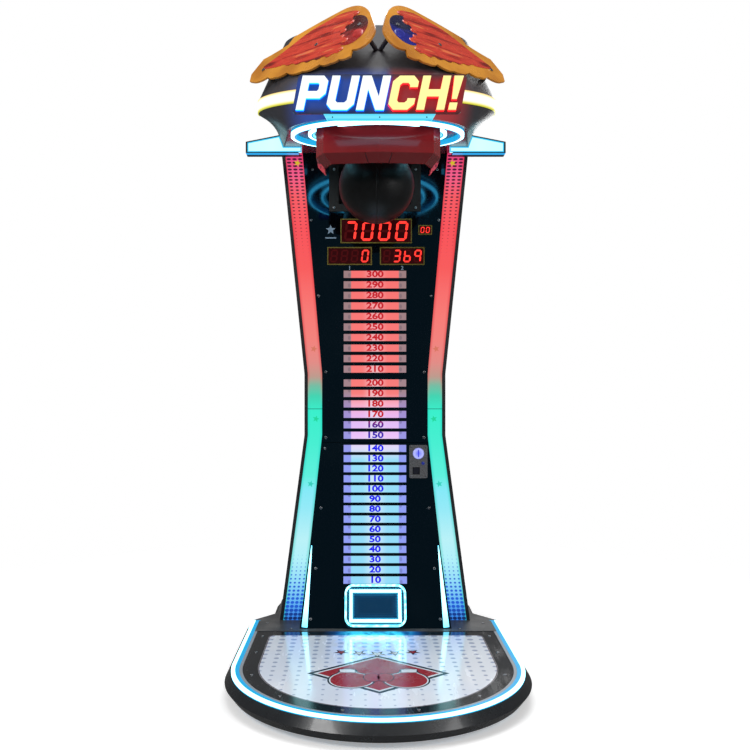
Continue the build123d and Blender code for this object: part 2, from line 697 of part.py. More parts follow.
def shell(lower, upper, lower_in, upper_in):
    outer = loft([lower, upper], ruled=True) & before(BACK_Y)
    inner = loft([lower_in, upper_in], ruled=True) & before(BACK_Y - COWL_WALL)
    return outer, outer - inner


def head():
    wall = COWL_WALL
    low_full, low = shell(neck_edge(), band_edge(0), neck_edge(wall), band_edge(0, wall))
    save("cowl_lower", low)
    tall = BAND_HEIGHT
    _, band = shell(band_edge(0, -3), band_edge(tall, -3), band_edge(0, 12), band_edge(tall, 12))
    save("cowl_band", band)
    high_full, high = shell(band_edge(tall), roof_edge(), band_edge(tall, wall), roof_edge(-wall, wall))
    save("cowl_upper", high)
    floor = RING_FRAME * block((-500, 500), (-500, 500), (0, HEAD_FLOOR_THICK))
    floor &= loft([neck_edge(wall + SLIP), band_edge(0, wall + SLIP)], ruled=True)
    floor &= before(FACE_Y - 1)
    floor -= block((-OPENING_HALF - 6, OPENING_HALF + 6), (BALL_Y - 71, FACE_Y + 5), (1600, 2000))
    save("head_floor", floor)
    return low_full, high_full


def ring_lights():
    """Two lit rings under the head, open at the back where the ball swings through."""
    rings = []
    ball_path = block((-OPENING_HALF, OPENING_HALF), (BALL_Y, FACE_Y), (RING_Z - 50, RING_Z + 100))
    for radius, band, drop in ((RING_OUTER, RING_BAND, 16.0), (INNER_RING, INNER_RING_BAND, 10.0)):
        ring = Pos(0, 0, -drop / 2) * (Cylinder(radius, drop) - Cylinder(radius - band, drop))
        rings.append(RING_FRAME * ring - ball_path)
    save("ring_lights", *rings)


def visor_plan(z, side, cut, nose, flank, inset=0.0):
    """The visor's plan: a slightly peaked front with cut corners."""
    peak = 15.0
    points = [
        (side - inset, BALL_Y - VISOR_SETOUT), (side - inset, flank + inset), (cut - inset * 0.6, nose + inset),
        (0, nose - peak + inset), (inset * 0.6 - cut, nose + inset), (inset - side, flank + inset),
        (inset - side, BALL_Y - VISOR_SETOUT),
    ]
    return make_face(Polyline(*[(x, y, z) for x, y in points], close=True))


def visor():
    top = RING_Z + 20
    nose = BALL_Y - 316.0
    flank = BALL_Y - 266.0
    sizes = [(VISOR_BOTTOM, 163.0, 140.0, nose + 24, flank + 24), (VISOR_FOLD, 187.0, 163.0, nose, flank)]
    sizes.append((top, 187.0, 163.0, nose, flank))
    walls = []
    for low, high in zip(sizes, sizes[1:]):
        outer = loft([visor_plan(*low), visor_plan(*high)], ruled=True)
        inner = loft([visor_plan(*low, VISOR_WALL), visor_plan(*high, VISOR_WALL)], ruled=True)
        gap = block((-300, 300), (BALL_Y - VISOR_SETOUT - 1, BALL_Y), (1500, 2000))
        walls.append(outer - inner - gap)
    hood = walls[0] + walls[1]
    hood -= RING_FRAME * block((-400, 400), (-500, 500), (0, 200))
    channel = Cylinder(INNER_RING + 1, 22) - Cylinder(INNER_RING - INNER_RING_BAND - 1, 22)
    hood -= RING_FRAME * channel
    notch = [(31, VISOR_BOTTOM - 1), (41, VISOR_FOLD - 2), (39, VISOR_FOLD - 2), (29, VISOR_BOTTOM - 1)]
    groove = prism_y(notch, (nose - 60, nose + 60))
    save("visor", hood - groove - mirrored(groove))


LETTERS = {
    "P": (74, [(0, 0), (22, 0), (22, 32), (60, 32), (74, 46), (74, 81), (60, 95), (0, 95)],
          [(22, 52), (48, 52), (52, 56), (52, 71), (48, 75), (22, 75)]),
    "U": (76, [(0, 95), (0, 16), (16, 0), (60, 0), (76, 16), (76, 95), (54, 95), (54, 26), (48, 20),
               (28, 20), (22, 26), (22, 95)], None),
    "N": (78, [(0, 0), (22, 0), (22, 58), (54, 0), (78, 0), (78, 95), (56, 95), (56, 37), (24, 95),
               (0, 95)], None),
    "C": (72, [(16, 0), (56, 0), (72, 16), (72, 32), (50, 32), (50, 26), (44, 20), (28, 20), (22, 26),
               (22, 69), (28, 75), (44, 75), (50, 69), (50, 63), (72, 63), (72, 79), (56, 95), (16, 95),
               (0, 79), (0, 16)], None),
    "H": (78, [(0, 0), (22, 0), (22, 37), (56, 37), (56, 0), (78, 0), (78, 95), (56, 95), (56, 57),
               (22, 57), (22, 95), (0, 95)], None),
    "!": (26, [(6, 30), (20, 30), (26, 95), (0, 95)], None),
    "dot": (0, [(2, 0), (24, 0), (24, 20), (2, 20)], None),
}


def slanted(points, x):
    scale = LETTER_HEIGHT / 95.0
    lean = tan(radians(LETTER_SLANT))
    return [(x + px * scale + (pz * scale) * lean, SIGN_Z + pz * scale) for px, pz in points]


def letter(shape, x):
    _, outline, hole = LETTERS[shape]
    y = (SIGN_Y - SIGN_PLATE - LETTER_THICK, SIGN_Y - SIGN_PLATE)
    solid = prism_y(slanted(outline, x), y)
    if hole:
        solid -= prism_y(slanted(hole, x), (y[0] - 1, y[1] + 1))
    return solid


def sign(low_full):
    scale = LETTER_HEIGHT / 95.0
    word = ["P", "U", "N", "C", "H", "!"]
    lean = LETTER_HEIGHT * tan(radians(LETTER_SLANT))
    width = sum(LETTERS[shape][0] * scale for shape in word) + LETTER_GAP * (len(word) - 1)
    x = -(width + lean) / 2
    blue = []
    red = []
    for place, shape in enumerate(word):
        group = blue if place < 3 else red
        group.append(letter(shape, x))
        if shape == "!":
            group.append(letter("dot", x))
        x += LETTERS[shape][0] * scale + LETTER_GAP
    save("sign_letters_blue", *blue)
    save("sign_letters_red", *red)
    half = (width + lean) / 2 + 12
    low, high = SIGN_Z - 8, SIGN_Z + LETTER_HEIGHT + 8
    plate = prism_y([(-half, low), (half - lean, low), (half, high), (lean - half, high)],
                    (SIGN_Y - SIGN_PLATE, SIGN_Y))
    save("sign_backplate", fillet(plate.edges().filter_by(Axis.Y), 12))
    lip = prism_y([(-157, low), (157, low), (146, low - 18), (-146, low - 18)],
                  (SIGN_Y - SIGN_PLATE, SIGN_Y))
    save("sign_light_panel", lip)
    posts = [rod_y(8, side * 100.0, (SIGN_Y, SIGN_Y + 60), SIGN_Z + 20) - low_full for side in (-1, 1)]
    return posts


BOARD_PLANE = Plane(origin=(-75, FACE_Y - BOARD_SETOUT, 1908), x_dir=(0.788, -0.615, 0), z_dir=(-0.5276, -0.6757, 0.5148))
BOARD_SCALE = 0.958        # the outline below is drawn a little larger than the board
POST_RADIUS = 7.0
POST_LENGTH = 220.0
BOARD_SCREWS = [(-18.0, 117.0), (-179.0, 84.0), (-390.0, 40.0)]


def board_outline():
    """A flaming glove: round fist at the inner end, scalloped lower edge, pointed tail."""
    knuckles = Spline((-133, 229), (-62, 221), (0, 168), (40, 105), (64, 51), (58, 18), (0, 0))
    scallops = [(0, 0), (5, -29), (-40, -28), (-71, -34), (-118, -24), (-187, -31), (-261, -14),
                (-310, -19), (-350, -5), (-413, -9)]
    lower = []
    for (ax, ay), (bx, by) in zip(scallops, scallops[1:]):
        middle = ((ax + bx) / 2, (ay + by) / 2 - 0.12 * hypot(bx - ax, by - ay))
        lower.append(ThreePointArc((ax, ay), middle, (bx, by)))
    tail = Polyline((-413, -9), (-435, 1), (-446, 37), (-421, 101))
    top = [ThreePointArc((-421, 101), (-375, 116), (-325, 138)), Line((-325, 138), (-315, 170)),
           ThreePointArc((-315, 170), (-222, 203), (-133, 229))]
    return scale(make_face([knuckles, *lower, *tail.edges(), *top]), BOARD_SCALE)


def board_post(u, v, cowl):
    """A post from the back of the board to the cowl's surface."""
    post = BOARD_PLANE * Pos(u, v, -POST_LENGTH / 2) * Cylinder(POST_RADIUS, POST_LENGTH)
    front = BOARD_PLANE.from_local_coords((u, v, 0))
    return (post - cowl).solids().sort_by_distance(front)[0]


def glove_boards(high_full):
    board = extrude(BOARD_PLANE * board_outline(), BOARD_THICK)
    fixings = []
    for u, v in BOARD_SCREWS:
        u, v = u * BOARD_SCALE, v * BOARD_SCALE
        hole = BOARD_PLANE * Pos(u, v, BOARD_THICK / 2) * Cylinder(SCREW_HOLE, BOARD_THICK + 2)
        board -= hole
        cap = BOARD_PLANE * Pos(u, v, BOARD_THICK + SCREW_CAP / 2) * Cylinder(SCREW_HEAD + 1, SCREW_CAP)
        shank = BOARD_PLANE * Pos(u, v, BOARD_THICK / 2) * Cylinder(SCREW_SHANK, BOARD_THICK)
        fixings += [cap + shank, board_post(u, v, high_full)]
    save("glove_board_left", board)
    save("glove_board_right", mirrored(board))
    return fixings + [mirrored(fixing) for fixing in fixings]


def wings(low_full):
    y = (BAND_Y + 75, BAND_Y + 75 + WING_DEPTH)
    shape = [(270, 1757.5), (270, 1828), (313, 1825), (455, 1797), (455, 1757.5)]
    inner = [(260, 1761), (260, 1821), (313, 1821), (449, 1794), (449, 1761)]
    tray = prism_y(shape, y) - prism_y(inner, (y[0] - 1, y[0] + 12)) - low_full
    panel = prism_y(inner, (y[0] + 1, y[0] + 12)) - low_full
    tray = max(tray.solids(), key=lambda s: s.volume)
    panel = max(panel.solids(), key=lambda s: s.volume)
    save("wing_housings", tray, mirrored(tray))
    save("wing_diffusers", panel, mirrored(panel))


# ---- Coin plate pieces ----
CUP_AT = (COIN_X - 8.0, COIN_Z - 34.0)
BUTTON_AT = (COIN_X + 17.0, COIN_Z - 6.0)
ENTRY_AT = (COIN_X, COIN_Z + 30.0)
FLAP_PIN = 1.0
FLAP_Y = PANEL_Y + 2.5
FLAP_Z = CUP_AT[1] + CUP_HEIGHT / 2 - CUP_WALL - 3.0


def coin_unit():
    y = (PANEL_Y - COIN_THICK, PANEL_Y)
    through = (y[0] - 1, y[1] + 1)
    half_x = COIN_WIDTH / 2
    half_z = COIN_HEIGHT / 2
    plate = block((COIN_X - half_x, COIN_X + half_x), y, (COIN_Z - half_z, COIN_Z + half_z))
    plate = fillet(plate.edges().filter_by(Axis.Y), 6)
    plate -= rod_y(ENTRY_RADIUS - 3 + 0.3, ENTRY_AT[0], through, ENTRY_AT[1])
    plate -= rod_y(BUTTON_RADIUS + 0.3, BUTTON_AT[0], through, BUTTON_AT[1])
    mouth_x = CUP_WIDTH / 2 - CUP_WALL
    mouth_z = CUP_HEIGHT / 2 - CUP_WALL
    mouth = block((CUP_AT[0] - mouth_x, CUP_AT[0] + mouth_x), through, (CUP_AT[1] - mouth_z, CUP_AT[1] + mouth_z))
    plate -= mouth
    corners = [(COIN_X + sx * (half_x - 6), COIN_Z + sz * (half_z - 6)) for sx in (-1, 1) for sz in (-1, 1)]
    rivets = [rod_y(2.6, x, (y[0] - 1.4, y[0]), z) for x, z in corners]
    save("coin_plate", plate, *rivets)
    entry = rod_y(ENTRY_RADIUS, ENTRY_AT[0], (y[0] - 3, y[0]), ENTRY_AT[1])
    entry = fillet(entry.faces().sort_by(Axis.Y)[0].edges(), 1.5)
    entry += rod_y(ENTRY_RADIUS - 3, ENTRY_AT[0], (y[0], y[1] + 12), ENTRY_AT[1])
    slot = block((ENTRY_AT[0] - 1.8, ENTRY_AT[0] + 1.8), (y[0] - 4, y[1] + 13), (ENTRY_AT[1] - 14, ENTRY_AT[1] + 14))
    save("coin_entry", entry - slot)
    button = rod_y(BUTTON_RADIUS, BUTTON_AT[0], (y[0] - 5, y[1] + 8), BUTTON_AT[1])
    button = fillet(button.faces().sort_by(Axis.Y)[0].edges(), 1.2)
    save("reject_button", button)
    cup = block(
        (CUP_AT[0] - CUP_WIDTH / 2, CUP_AT[0] + CUP_WIDTH / 2),
        (PANEL_Y, PANEL_Y + CUP_DEPTH),
        (CUP_AT[1] - CUP_HEIGHT / 2, CUP_AT[1] + CUP_HEIGHT / 2),
    )
    cup -= block(
        (CUP_AT[0] - mouth_x, CUP_AT[0] + mouth_x),
        (PANEL_Y - 1, PANEL_Y + CUP_DEPTH - CUP_WALL),
        (CUP_AT[1] - mouth_z, CUP_AT[1] + mouth_z),
    )
    span = (CUP_AT[0] - CUP_WIDTH / 2 - 1, CUP_AT[0] + CUP_WIDTH / 2 + 1)
    save("return_cup", cup - rod_x(FLAP_PIN + RUNNING_FIT, span, FLAP_Y, FLAP_Z))
    flap = block(
        (CUP_AT[0] - mouth_x + SLIP, CUP_AT[0] + mouth_x - SLIP),
        (FLAP_Y - 0.75, FLAP_Y + 0.75),
        (CUP_AT[1] - mouth_z + 1.0, FLAP_Z),
    )
    pin_end = mouth_x + CUP_WALL - 0.2
    flap += rod_x(FLAP_PIN, (CUP_AT[0] - pin_end, CUP_AT[0] + pin_end), FLAP_Y, FLAP_Z)
    save("return_flap", flap)


# ---- Rear pieces ----
HINGE_X = -DOOR_HALF - 9.0
HINGE_Y = BACK_Y + 7.0
HINGE_LEVELS = (DOOR_LOW + 60, DOOR_HIGH - 60)
LOCK_AT = (DOOR_HALF - DOOR_LAP - 17.0, (DOOR_LOW + DOOR_HIGH) / 2)
INLET_AT = (245.0, 130.0)


def service_door():
    y = (BACK_Y + 0.4, BACK_Y + 0.4 + DOOR_THICK)
    door = block((-DOOR_HALF, DOOR_HALF), y, (DOOR_LOW, DOOR_HIGH))
    louvres = []
    for row in range(6):
        z = DOOR_HIGH - 90 - 14 * row
        louvres.append(block((-80, 80), (y[0] - 1, y[1] + 1), (z, z + 5)))
    door -= louvres
    door -= rod_y(LOCK_RADIUS + RUNNING_FIT, LOCK_AT[0], (y[0] - 1, y[1] + 1), LOCK_AT[1])
    fixed = []
    for z in HINGE_LEVELS:
        barrel = rod_z(HINGE_RADIUS, HINGE_X, HINGE_Y, (z + 0.5, z + 30))
        leaf = block((HINGE_X, -DOOR_HALF + 20), (HINGE_Y - 1, HINGE_Y + 1), (z + 0.5, z + 30))
        foot = block((-DOOR_HALF + 2, -DOOR_HALF + 20), (y[1], HINGE_Y + 1), (z + 0.5, z + 30))
        door += barrel + leaf + foot
        door -= rod_z(PIN_BORE, HINGE_X, HINGE_Y, (z, z + 31))
        lower = rod_z(HINGE_RADIUS, HINGE_X, HINGE_Y, (z - 30, z))
        lower += block((HINGE_X - 30, HINGE_X), (BACK_Y, BACK_Y + 3), (z - 30, z))
        lower += block((HINGE_X - HINGE_RADIUS, HINGE_X), (BACK_Y, HINGE_Y), (z - 30, z))
        fixed.append(lower + rod_z(PIN_RADIUS, HINGE_X, HINGE_Y, (z, z + 32)))
    save("service_door", door)
    save("door_hinges", *fixed)
    barrel = rod_y(LOCK_RADIUS, LOCK_AT[0], (BACK_Y - 8, y[1]), LOCK_AT[1])
    rim = rod_y(LOCK_RADIUS + 3, LOCK_AT[0], (y[1] + 0.3, y[1] + 3), LOCK_AT[1])
    cam = block((LOCK_AT[0] - 8, LOCK_AT[0] + 8), (BACK_Y - 11, BACK_Y - 8), (LOCK_AT[1] - 10, LOCK_AT[1] + 34))
    key = block((LOCK_AT[0] - 1, LOCK_AT[0] + 1), (y[1] - 2, y[1] + 4), (LOCK_AT[1] - 5, LOCK_AT[1] + 5))
    save("door_lock", barrel + rod_y(LOCK_RADIUS, LOCK_AT[0], (y[1], y[1] + 1), LOCK_AT[1]) + rim + cam - key)


ROCKER_RADIUS = 11.0
ROCKER_AT = (INLET_AT[0], INLET_AT[1] + 18.0)
ROCKER_Y = BACK_Y - 3.0


def power_inlet():
    x, z = INLET_AT
    plate = block((x - 30, x + 30), (BACK_Y, BACK_Y + 2), (z - 42, z + 42))
    body = block((x - 23, x + 23), (BACK_Y - 24, BACK_Y), (z - 33, z + 33))
    unit = plate + body
    unit -= block((x - 14, x + 14), (BACK_Y - 18, BACK_Y + 3), (z - 26, z - 6))
    unit -= rod_x(ROCKER_RADIUS + 0.4, (x - 9, x + 9), ROCKER_Y, ROCKER_AT[1])
    unit -= block((x - 9, x + 9), (ROCKER_Y, BACK_Y + 3), (ROCKER_AT[1] - 11.4, ROCKER_AT[1] + 11.4))
    unit -= rod_x(2 + RUNNING_FIT, (x - 12, x + 12), ROCKER_Y, ROCKER_AT[1])
    pins = [block((x + dx - 1, x + dx + 1), (BACK_Y - 18, BACK_Y - 4), (z - 19, z - 13)) for dx in (-7, 0, 7)]
    save("power_inlet", unit, *pins)
    rocker = rod_x(ROCKER_RADIUS, (x - 8.6, x + 8.6), ROCKER_Y, ROCKER_AT[1])
    top = Pos(x, ROCKER_Y, ROCKER_AT[1]) * Rot(10, 0, 0) * block((-10, 10), (6, 14), (-14, 14))
    rocker -= top
    save("rocker_switch", rocker + rod_x(2, (x - 11.6, x + 11.6), ROCKER_Y, ROCKER_AT[1]))


# ---- Build ----
base_frame()
levelling_feet()
base_skirt()
platform_light()
deck()
side_panels()
light_strips()
upper_panel()
lower_panel()
wedge_lights()
meter_bars()
displays()
led_window()
opening_frame()
panel_screws()
back_panel()
cabinet_frame()
stop_bumpers()
pivot()
swing()
cowl_below, cowl_above = head()
ring_lights()
visor()
sign_posts = sign(cowl_below)
board_fixings = glove_boards(cowl_above)
save("head_brackets", *sign_posts, *board_fixings)
wings(cowl_below)
coin_unit()
service_door()
power_inlet()
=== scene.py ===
"""Finishes, lights, displays, prints and the punch ball of an arcade boxing machine."""

import math

import bmesh
import bpy
from bpy.props import FloatProperty, FloatVectorProperty, IntProperty, PointerProperty, StringProperty
from bpy.types import Operator, Panel, PropertyGroup
from mathutils import Matrix, Vector


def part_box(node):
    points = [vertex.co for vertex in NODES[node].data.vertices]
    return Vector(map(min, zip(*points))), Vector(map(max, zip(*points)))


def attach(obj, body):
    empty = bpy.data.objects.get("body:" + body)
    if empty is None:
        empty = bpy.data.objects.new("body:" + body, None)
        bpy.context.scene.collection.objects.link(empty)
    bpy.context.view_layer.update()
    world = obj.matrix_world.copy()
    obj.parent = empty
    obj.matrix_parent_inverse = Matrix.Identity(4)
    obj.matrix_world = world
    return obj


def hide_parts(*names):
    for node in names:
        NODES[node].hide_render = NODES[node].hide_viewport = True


bl_info = {
    "name": "Boxing punch machine",
    "version": (1, 0, 0),
    "blender": (4, 5, 0),
    "location": "View3D > Sidebar > Punch machine",
    "description": "Builds the lights, displays, prints and punch ball of an arcade boxing machine",
    "category": "Object",
}

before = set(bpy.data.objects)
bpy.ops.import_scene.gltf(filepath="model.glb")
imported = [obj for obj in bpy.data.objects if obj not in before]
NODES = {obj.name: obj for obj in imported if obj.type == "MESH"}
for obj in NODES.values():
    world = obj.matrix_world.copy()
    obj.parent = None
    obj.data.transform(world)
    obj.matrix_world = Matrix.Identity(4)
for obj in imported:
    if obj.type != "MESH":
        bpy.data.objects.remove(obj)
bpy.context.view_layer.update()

MM = 0.001
FACE_TURN = Matrix.Rotation(math.radians(90), 4, "X")       # a flat shape stood up to face the player
LEAN = math.atan2(112, 279)                                 # how far the lower panel leans
LEAN_TURN = Matrix.Rotation(math.radians(90) - LEAN, 4, "X")
LEAN_OUT = Vector((0, -math.cos(LEAN), math.sin(LEAN)))
LEAN_UP = Vector((0, math.sin(LEAN), math.cos(LEAN)))
BEND = Vector((0, 0.317, 0.359))                            # where the lower panel starts to lean
WINDOW_DROP = 0.224
SIGN_MIDDLE = 1.7575                                        # height of the middle of the letters
WINDOW_LINE = (0.087, 0.052)                                # half sizes of the lamp frame's middle line
ARC_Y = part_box("platform_light")[0].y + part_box("platform_light")[1].x
RING_MIDDLE = Vector((0, -0.129, 1.741))
RING_TILT = math.radians(7.5)
RING_SPLIT = 0.237                                          # a radius between the two rings
FRONT = 0.317                                               # the front of the upright panel and its strips
SLANT_LEVELS = (0.080, 0.761, 0.986, 1.786)                 # heights where the cabinet's slanted lines turn
BAND_SLOPE = math.tan(math.radians(12.7))
BOARD_ORIGIN = Vector((-0.075, -0.360, 1.908))
BOARD_ACROSS = Vector((0.788, -0.615, 0)).normalized()
BOARD_OUT = Vector((-0.5276, -0.6757, 0.5148)).normalized()
BOARD_UP = BOARD_OUT.cross(BOARD_ACROSS)


def tint(code, strength=1.0):
    """Linear colour from a hex code such as ff8040."""
    parts = [int(code[place:place + 2], 16) / 255 for place in (0, 2, 4)]
    linear = [p / 12.92 if p <= 0.04045 else ((p + 0.055) / 1.055) ** 2.4 for p in parts]
    return (*[part * strength for part in linear], 1.0)


def shaded(colour, share):
    """The same colour, darker or lighter."""
    return tuple(part * share for part in colour[:3]) + (1,)


# ---- Node trees ----
class Web:
    """Short calls that add nodes to one tree."""

    def __init__(self, tree):
        self.tree = tree
        self.kept = {}

    def add(self, kind, **settings):
        node = self.tree.nodes.new("ShaderNode" + kind)
        for name, value in settings.items():
            setattr(node, name, value)
        return node

    def feed(self, socket, value):
        if isinstance(value, bpy.types.NodeSocket):
            self.tree.links.new(value, socket)
        else:
            socket.default_value = value

    def math(self, operation, *values, clamp=False):
        node = self.add("Math", operation=operation, use_clamp=clamp)
        for socket, value in zip(node.inputs, values):
            self.feed(socket, value)
        return node.outputs[0]

    def spot(self):
        """Object coordinates as a vector, then x, y and z."""
        if "spot" not in self.kept:
            place = self.add("TexCoord").outputs["Object"]
            parts = self.add("SeparateXYZ")
            self.feed(parts.inputs[0], place)
            self.kept["spot"] = (place, *parts.outputs)
        return self.kept["spot"]

    def facing(self):
        """The surface's own direction, as x, y and z."""
        if "facing" not in self.kept:
            parts = self.add("SeparateXYZ")
            self.feed(parts.inputs[0], self.add("TexCoord").outputs["Normal"])
            self.kept["facing"] = tuple(parts.outputs)
        return self.kept["facing"]

    def remap(self, value, low, high, start=0.0, end=1.0, kind="SMOOTHSTEP"):
        node = self.add("MapRange", interpolation_type=kind, clamp=True)
        for name, item in zip(("Value", "From Min", "From Max", "To Min", "To Max"),
                              (value, low, high, start, end)):
            self.feed(node.inputs[name], item)
        return node.outputs["Result"]

    def stretched(self, stretch, place=None):
        node = self.add("VectorMath", operation="MULTIPLY")
        self.feed(node.inputs[0], place or self.spot()[0])
        self.feed(node.inputs[1], stretch)
        return node.outputs["Vector"]

    def noise(self, scale, detail=2.0, stretch=None, place=None):
        node = self.add("TexNoise")
        place = place or self.spot()[0]
        self.feed(node.inputs["Vector"], self.stretched(stretch, place) if stretch else place)
        self.feed(node.inputs["Scale"], scale)
        self.feed(node.inputs["Detail"], detail)
        return node.outputs["Fac"]

    def cells(self, scale, feature="F1"):
        node = self.add("TexVoronoi", feature=feature)
        self.feed(node.inputs["Vector"], self.spot()[0])
        self.feed(node.inputs["Scale"], scale)
        return node.outputs["Distance"]

    def mix(self, share, first, second):
        node = self.add("Mix", data_type="RGBA")
        for socket, value in zip((node.inputs[0], node.inputs[6], node.inputs[7]), (share, first, second)):
            self.feed(socket, value)
        return node.outputs[2]

    def ramp(self, value, stops):
        """A colour ramp from (place, colour) pairs."""
        node = self.add("ValToRGB")
        band = node.color_ramp
        while len(band.elements) < len(stops):
            band.elements.new(0.5)
        for element, (place, colour) in zip(band.elements, stops):
            element.position = place
            element.color = colour
        self.feed(node.inputs["Fac"], value)
        return node.outputs["Color"]

    def length(self, x, y):
        return self.math("SQRT", self.math("ADD", self.math("MULTIPLY", x, x), self.math("MULTIPLY", y, y)))

    def along(self, direction, origin):
        """How far the surface lies from a point along a direction."""
        node = self.add("VectorMath", operation="DOT_PRODUCT")
        self.feed(node.inputs[0], self.spot()[0])
        self.feed(node.inputs[1], tuple(direction))
        return self.math("SUBTRACT", node.outputs["Value"], origin.dot(direction))

    def group(self, tree, result, **values):
        node = self.add("Group", node_tree=tree)
        for name, value in values.items():
            self.feed(node.inputs[name.replace("_", " ").capitalize()], value)
        return node.outputs[result]


def new_group(name, inputs, outputs):
    """An empty shader group with float inputs and outputs."""
    tree = bpy.data.node_groups.new(name, "ShaderNodeTree")
    for label, default in inputs:
        socket = tree.interface.new_socket(label, in_out="INPUT", socket_type="NodeSocketFloat")
        socket.default_value = default
    for label in outputs:
        tree.interface.new_socket(label, in_out="OUTPUT", socket_type="NodeSocketFloat")
    web = Web(tree)
    given = tree.nodes.new("NodeGroupInput").outputs
    result = tree.nodes.new("NodeGroupOutput").inputs
    return tree, web, given, result


def make_dots():
    """Oblong printed dots on a grid: 1 inside a dot, 0 between them."""
    inputs = [("Across", 0), ("Up", 0), ("Pitch across", 0.02), ("Pitch up", 0.013), ("Size", 1),
              ("Width", 0.33), ("Height", 0.25), ("Softness", 0.12)]
    tree, web, given, result = new_group("Halftone dots", inputs, ["Mask"])
    parts = []
    for place, pitch, reach in (("Across", "Pitch across", "Width"), ("Up", "Pitch up", "Height")):
        cell = web.math("FRACT", web.math("ADD", web.math("DIVIDE", given[place], given[pitch]), 1000.5))
        parts.append(web.math("DIVIDE", web.math("SUBTRACT", cell, 0.5), given[reach]))
    distance = web.length(*parts)
    edge = web.math("DIVIDE", web.math("SUBTRACT", given["Size"], distance), given["Softness"])
    web.feed(result["Mask"], web.math("ADD", edge, 0.5, clamp=True))
    return tree


def make_smudges():
    """A roughness that wanders between a clean and a smeared value."""
    inputs = [("Scale", 6), ("Clean", 0.1), ("Smeared", 0.2)]
    tree, web, given, result = new_group("Soft smudges", inputs, ["Roughness"])
    wide = web.noise(given["Scale"], 4.0)
    fine = web.noise(web.math("MULTIPLY", given["Scale"], 9.0), 3.0)
    blend = web.math("ADD", web.math("MULTIPLY", wide, 0.75), web.math("MULTIPLY", fine, 0.25))
    share = web.remap(blend, 0.4, 0.66)
    spread = web.math("SUBTRACT", given["Smeared"], given["Clean"])
    web.feed(result["Roughness"], web.math("MULTIPLY_ADD", share, spread, given["Clean"]))
    return tree


def make_grain():
    """The fine height of powder coat, moulded plastic or rubber."""
    tree, web, given, result = new_group("Fine grain", [("Scale", 900), ("Waviness", 0.35)], ["Height"])
    fine = web.noise(given["Scale"], 3.0)
    wide = web.noise(web.math("MULTIPLY", given["Scale"], 0.12), 2.0)
    web.feed(result["Height"], web.math("MULTIPLY_ADD", wide, given["Waviness"], fine))
    return tree


def make_dust():
    """Dust that settles in patches on what faces up."""
    tree, web, given, result = new_group("Settled dust", [("Amount", 0.2), ("Scale", 14)], ["Mask"])
    up = web.remap(web.facing()[2], 0.6, 1.0)
    patch = web.remap(web.noise(given["Scale"], 6.0), 0.42, 0.72)
    web.feed(result["Mask"], web.math("MULTIPLY", web.math("MULTIPLY", up, patch), given["Amount"]))
    return tree


def make_core():
    """The white core of a lit strip: 1 in the middle, 0 at its edges."""
    inputs = [("Place", 0), ("Middle", 0), ("Reach", 0.01)]
    tree, web, given, result = new_group("Lit core", inputs, ["Mask"])
    away = web.math("ABSOLUTE", web.math("SUBTRACT", given["Place"], given["Middle"]))
    web.feed(result["Mask"], web.remap(web.math("DIVIDE", away, given["Reach"]), 1.0, 0.8))
    return tree


GROUPS = {
    "dots": make_dots(),
    "smudges": make_smudges(),
    "grain": make_grain(),
    "dust": make_dust(),
    "core": make_core(),
}


class Finish(Web):
    """A material with one Principled shader."""

    def __init__(self, name, colour=None, **plain):
        self.material = bpy.data.materials.new(name)
        self.material.use_nodes = True
        super().__init__(self.material.node_tree)
        self.shader = self.tree.nodes["Principled BSDF"]
        if colour is not None:
            self.set("Base Color", colour)
        for socket, value in plain.items():
            self.set(socket.replace("_", " ").title().replace("Ior", "IOR"), value)

    def set(self, socket, value):
        self.feed(self.shader.inputs[socket], value)
        return self

    def bump(self, height, strength=0.3, distance=0.0004):
        node = self.add("Bump")
        node.inputs["Strength"].default_value = strength
        node.inputs["Distance"].default_value = distance
        self.feed(node.inputs["Height"], height)
        self.set("Normal", node.outputs["Normal"])
        return self

    def glow(self, colour, strength):
        self.set("Emission Color", colour)
        self.shader.inputs["Emission Strength"].default_value = strength
        return self

    def mottled(self, scale, first, second, detail=2.0):
        """A base colour that wanders between two tones."""
        return self.set("Base Color", self.mix(self.noise(scale, detail), tint(first), tint(second)))

    def smear(self, clean, smeared, scale=6.0):
        shine = self.group(GROUPS["smudges"], "Roughness", scale=scale, clean=clean, smeared=smeared)
        return self.set("Roughness", shine)

    def grained(self, scale=900.0, waviness=0.35, strength=0.3, distance=0.0003):
        height = self.group(GROUPS["grain"], "Height", scale=scale, waviness=waviness)
        return self.bump(height, strength, distance)

    def dusty(self, base, dust, amount=0.2, scale=14.0):
        mask = self.group(GROUPS["dust"], "Mask", amount=amount, scale=scale)
        self.set("Base Color", self.mix(mask, base, dust))
        return self


def powder_coat(name, colour, scale=1100.0, strength=0.35, clean=0.36, smeared=0.5):
    """Painted steel with a fine orange peel."""
    coat = Finish(name)
    shade = coat.mix(coat.remap(coat.noise(5.0, 5.0), 0.35, 0.7), colour, shaded(colour, 1.35))
    coat.dusty(shade, tint("8d8a84"), 0.18)
    coat.smear(clean, smeared)
    return coat.grained(scale, 0.5, strength).material


def bare_steel(name, colour, stretch, roughness=(0.22, 0.4)):
    """Stainless or ground steel, with brush marks along one direction."""
    steel = Finish(name, metallic=1.0)
    marks = steel.noise(900.0, 3.0, stretch)
    steel.set("Base Color", steel.mix(marks, colour, shaded(colour, 0.72)))
    steel.set("Roughness", steel.remap(marks, 0.3, 0.7, *roughness))
    return steel.bump(marks, 0.15, 0.0002).material


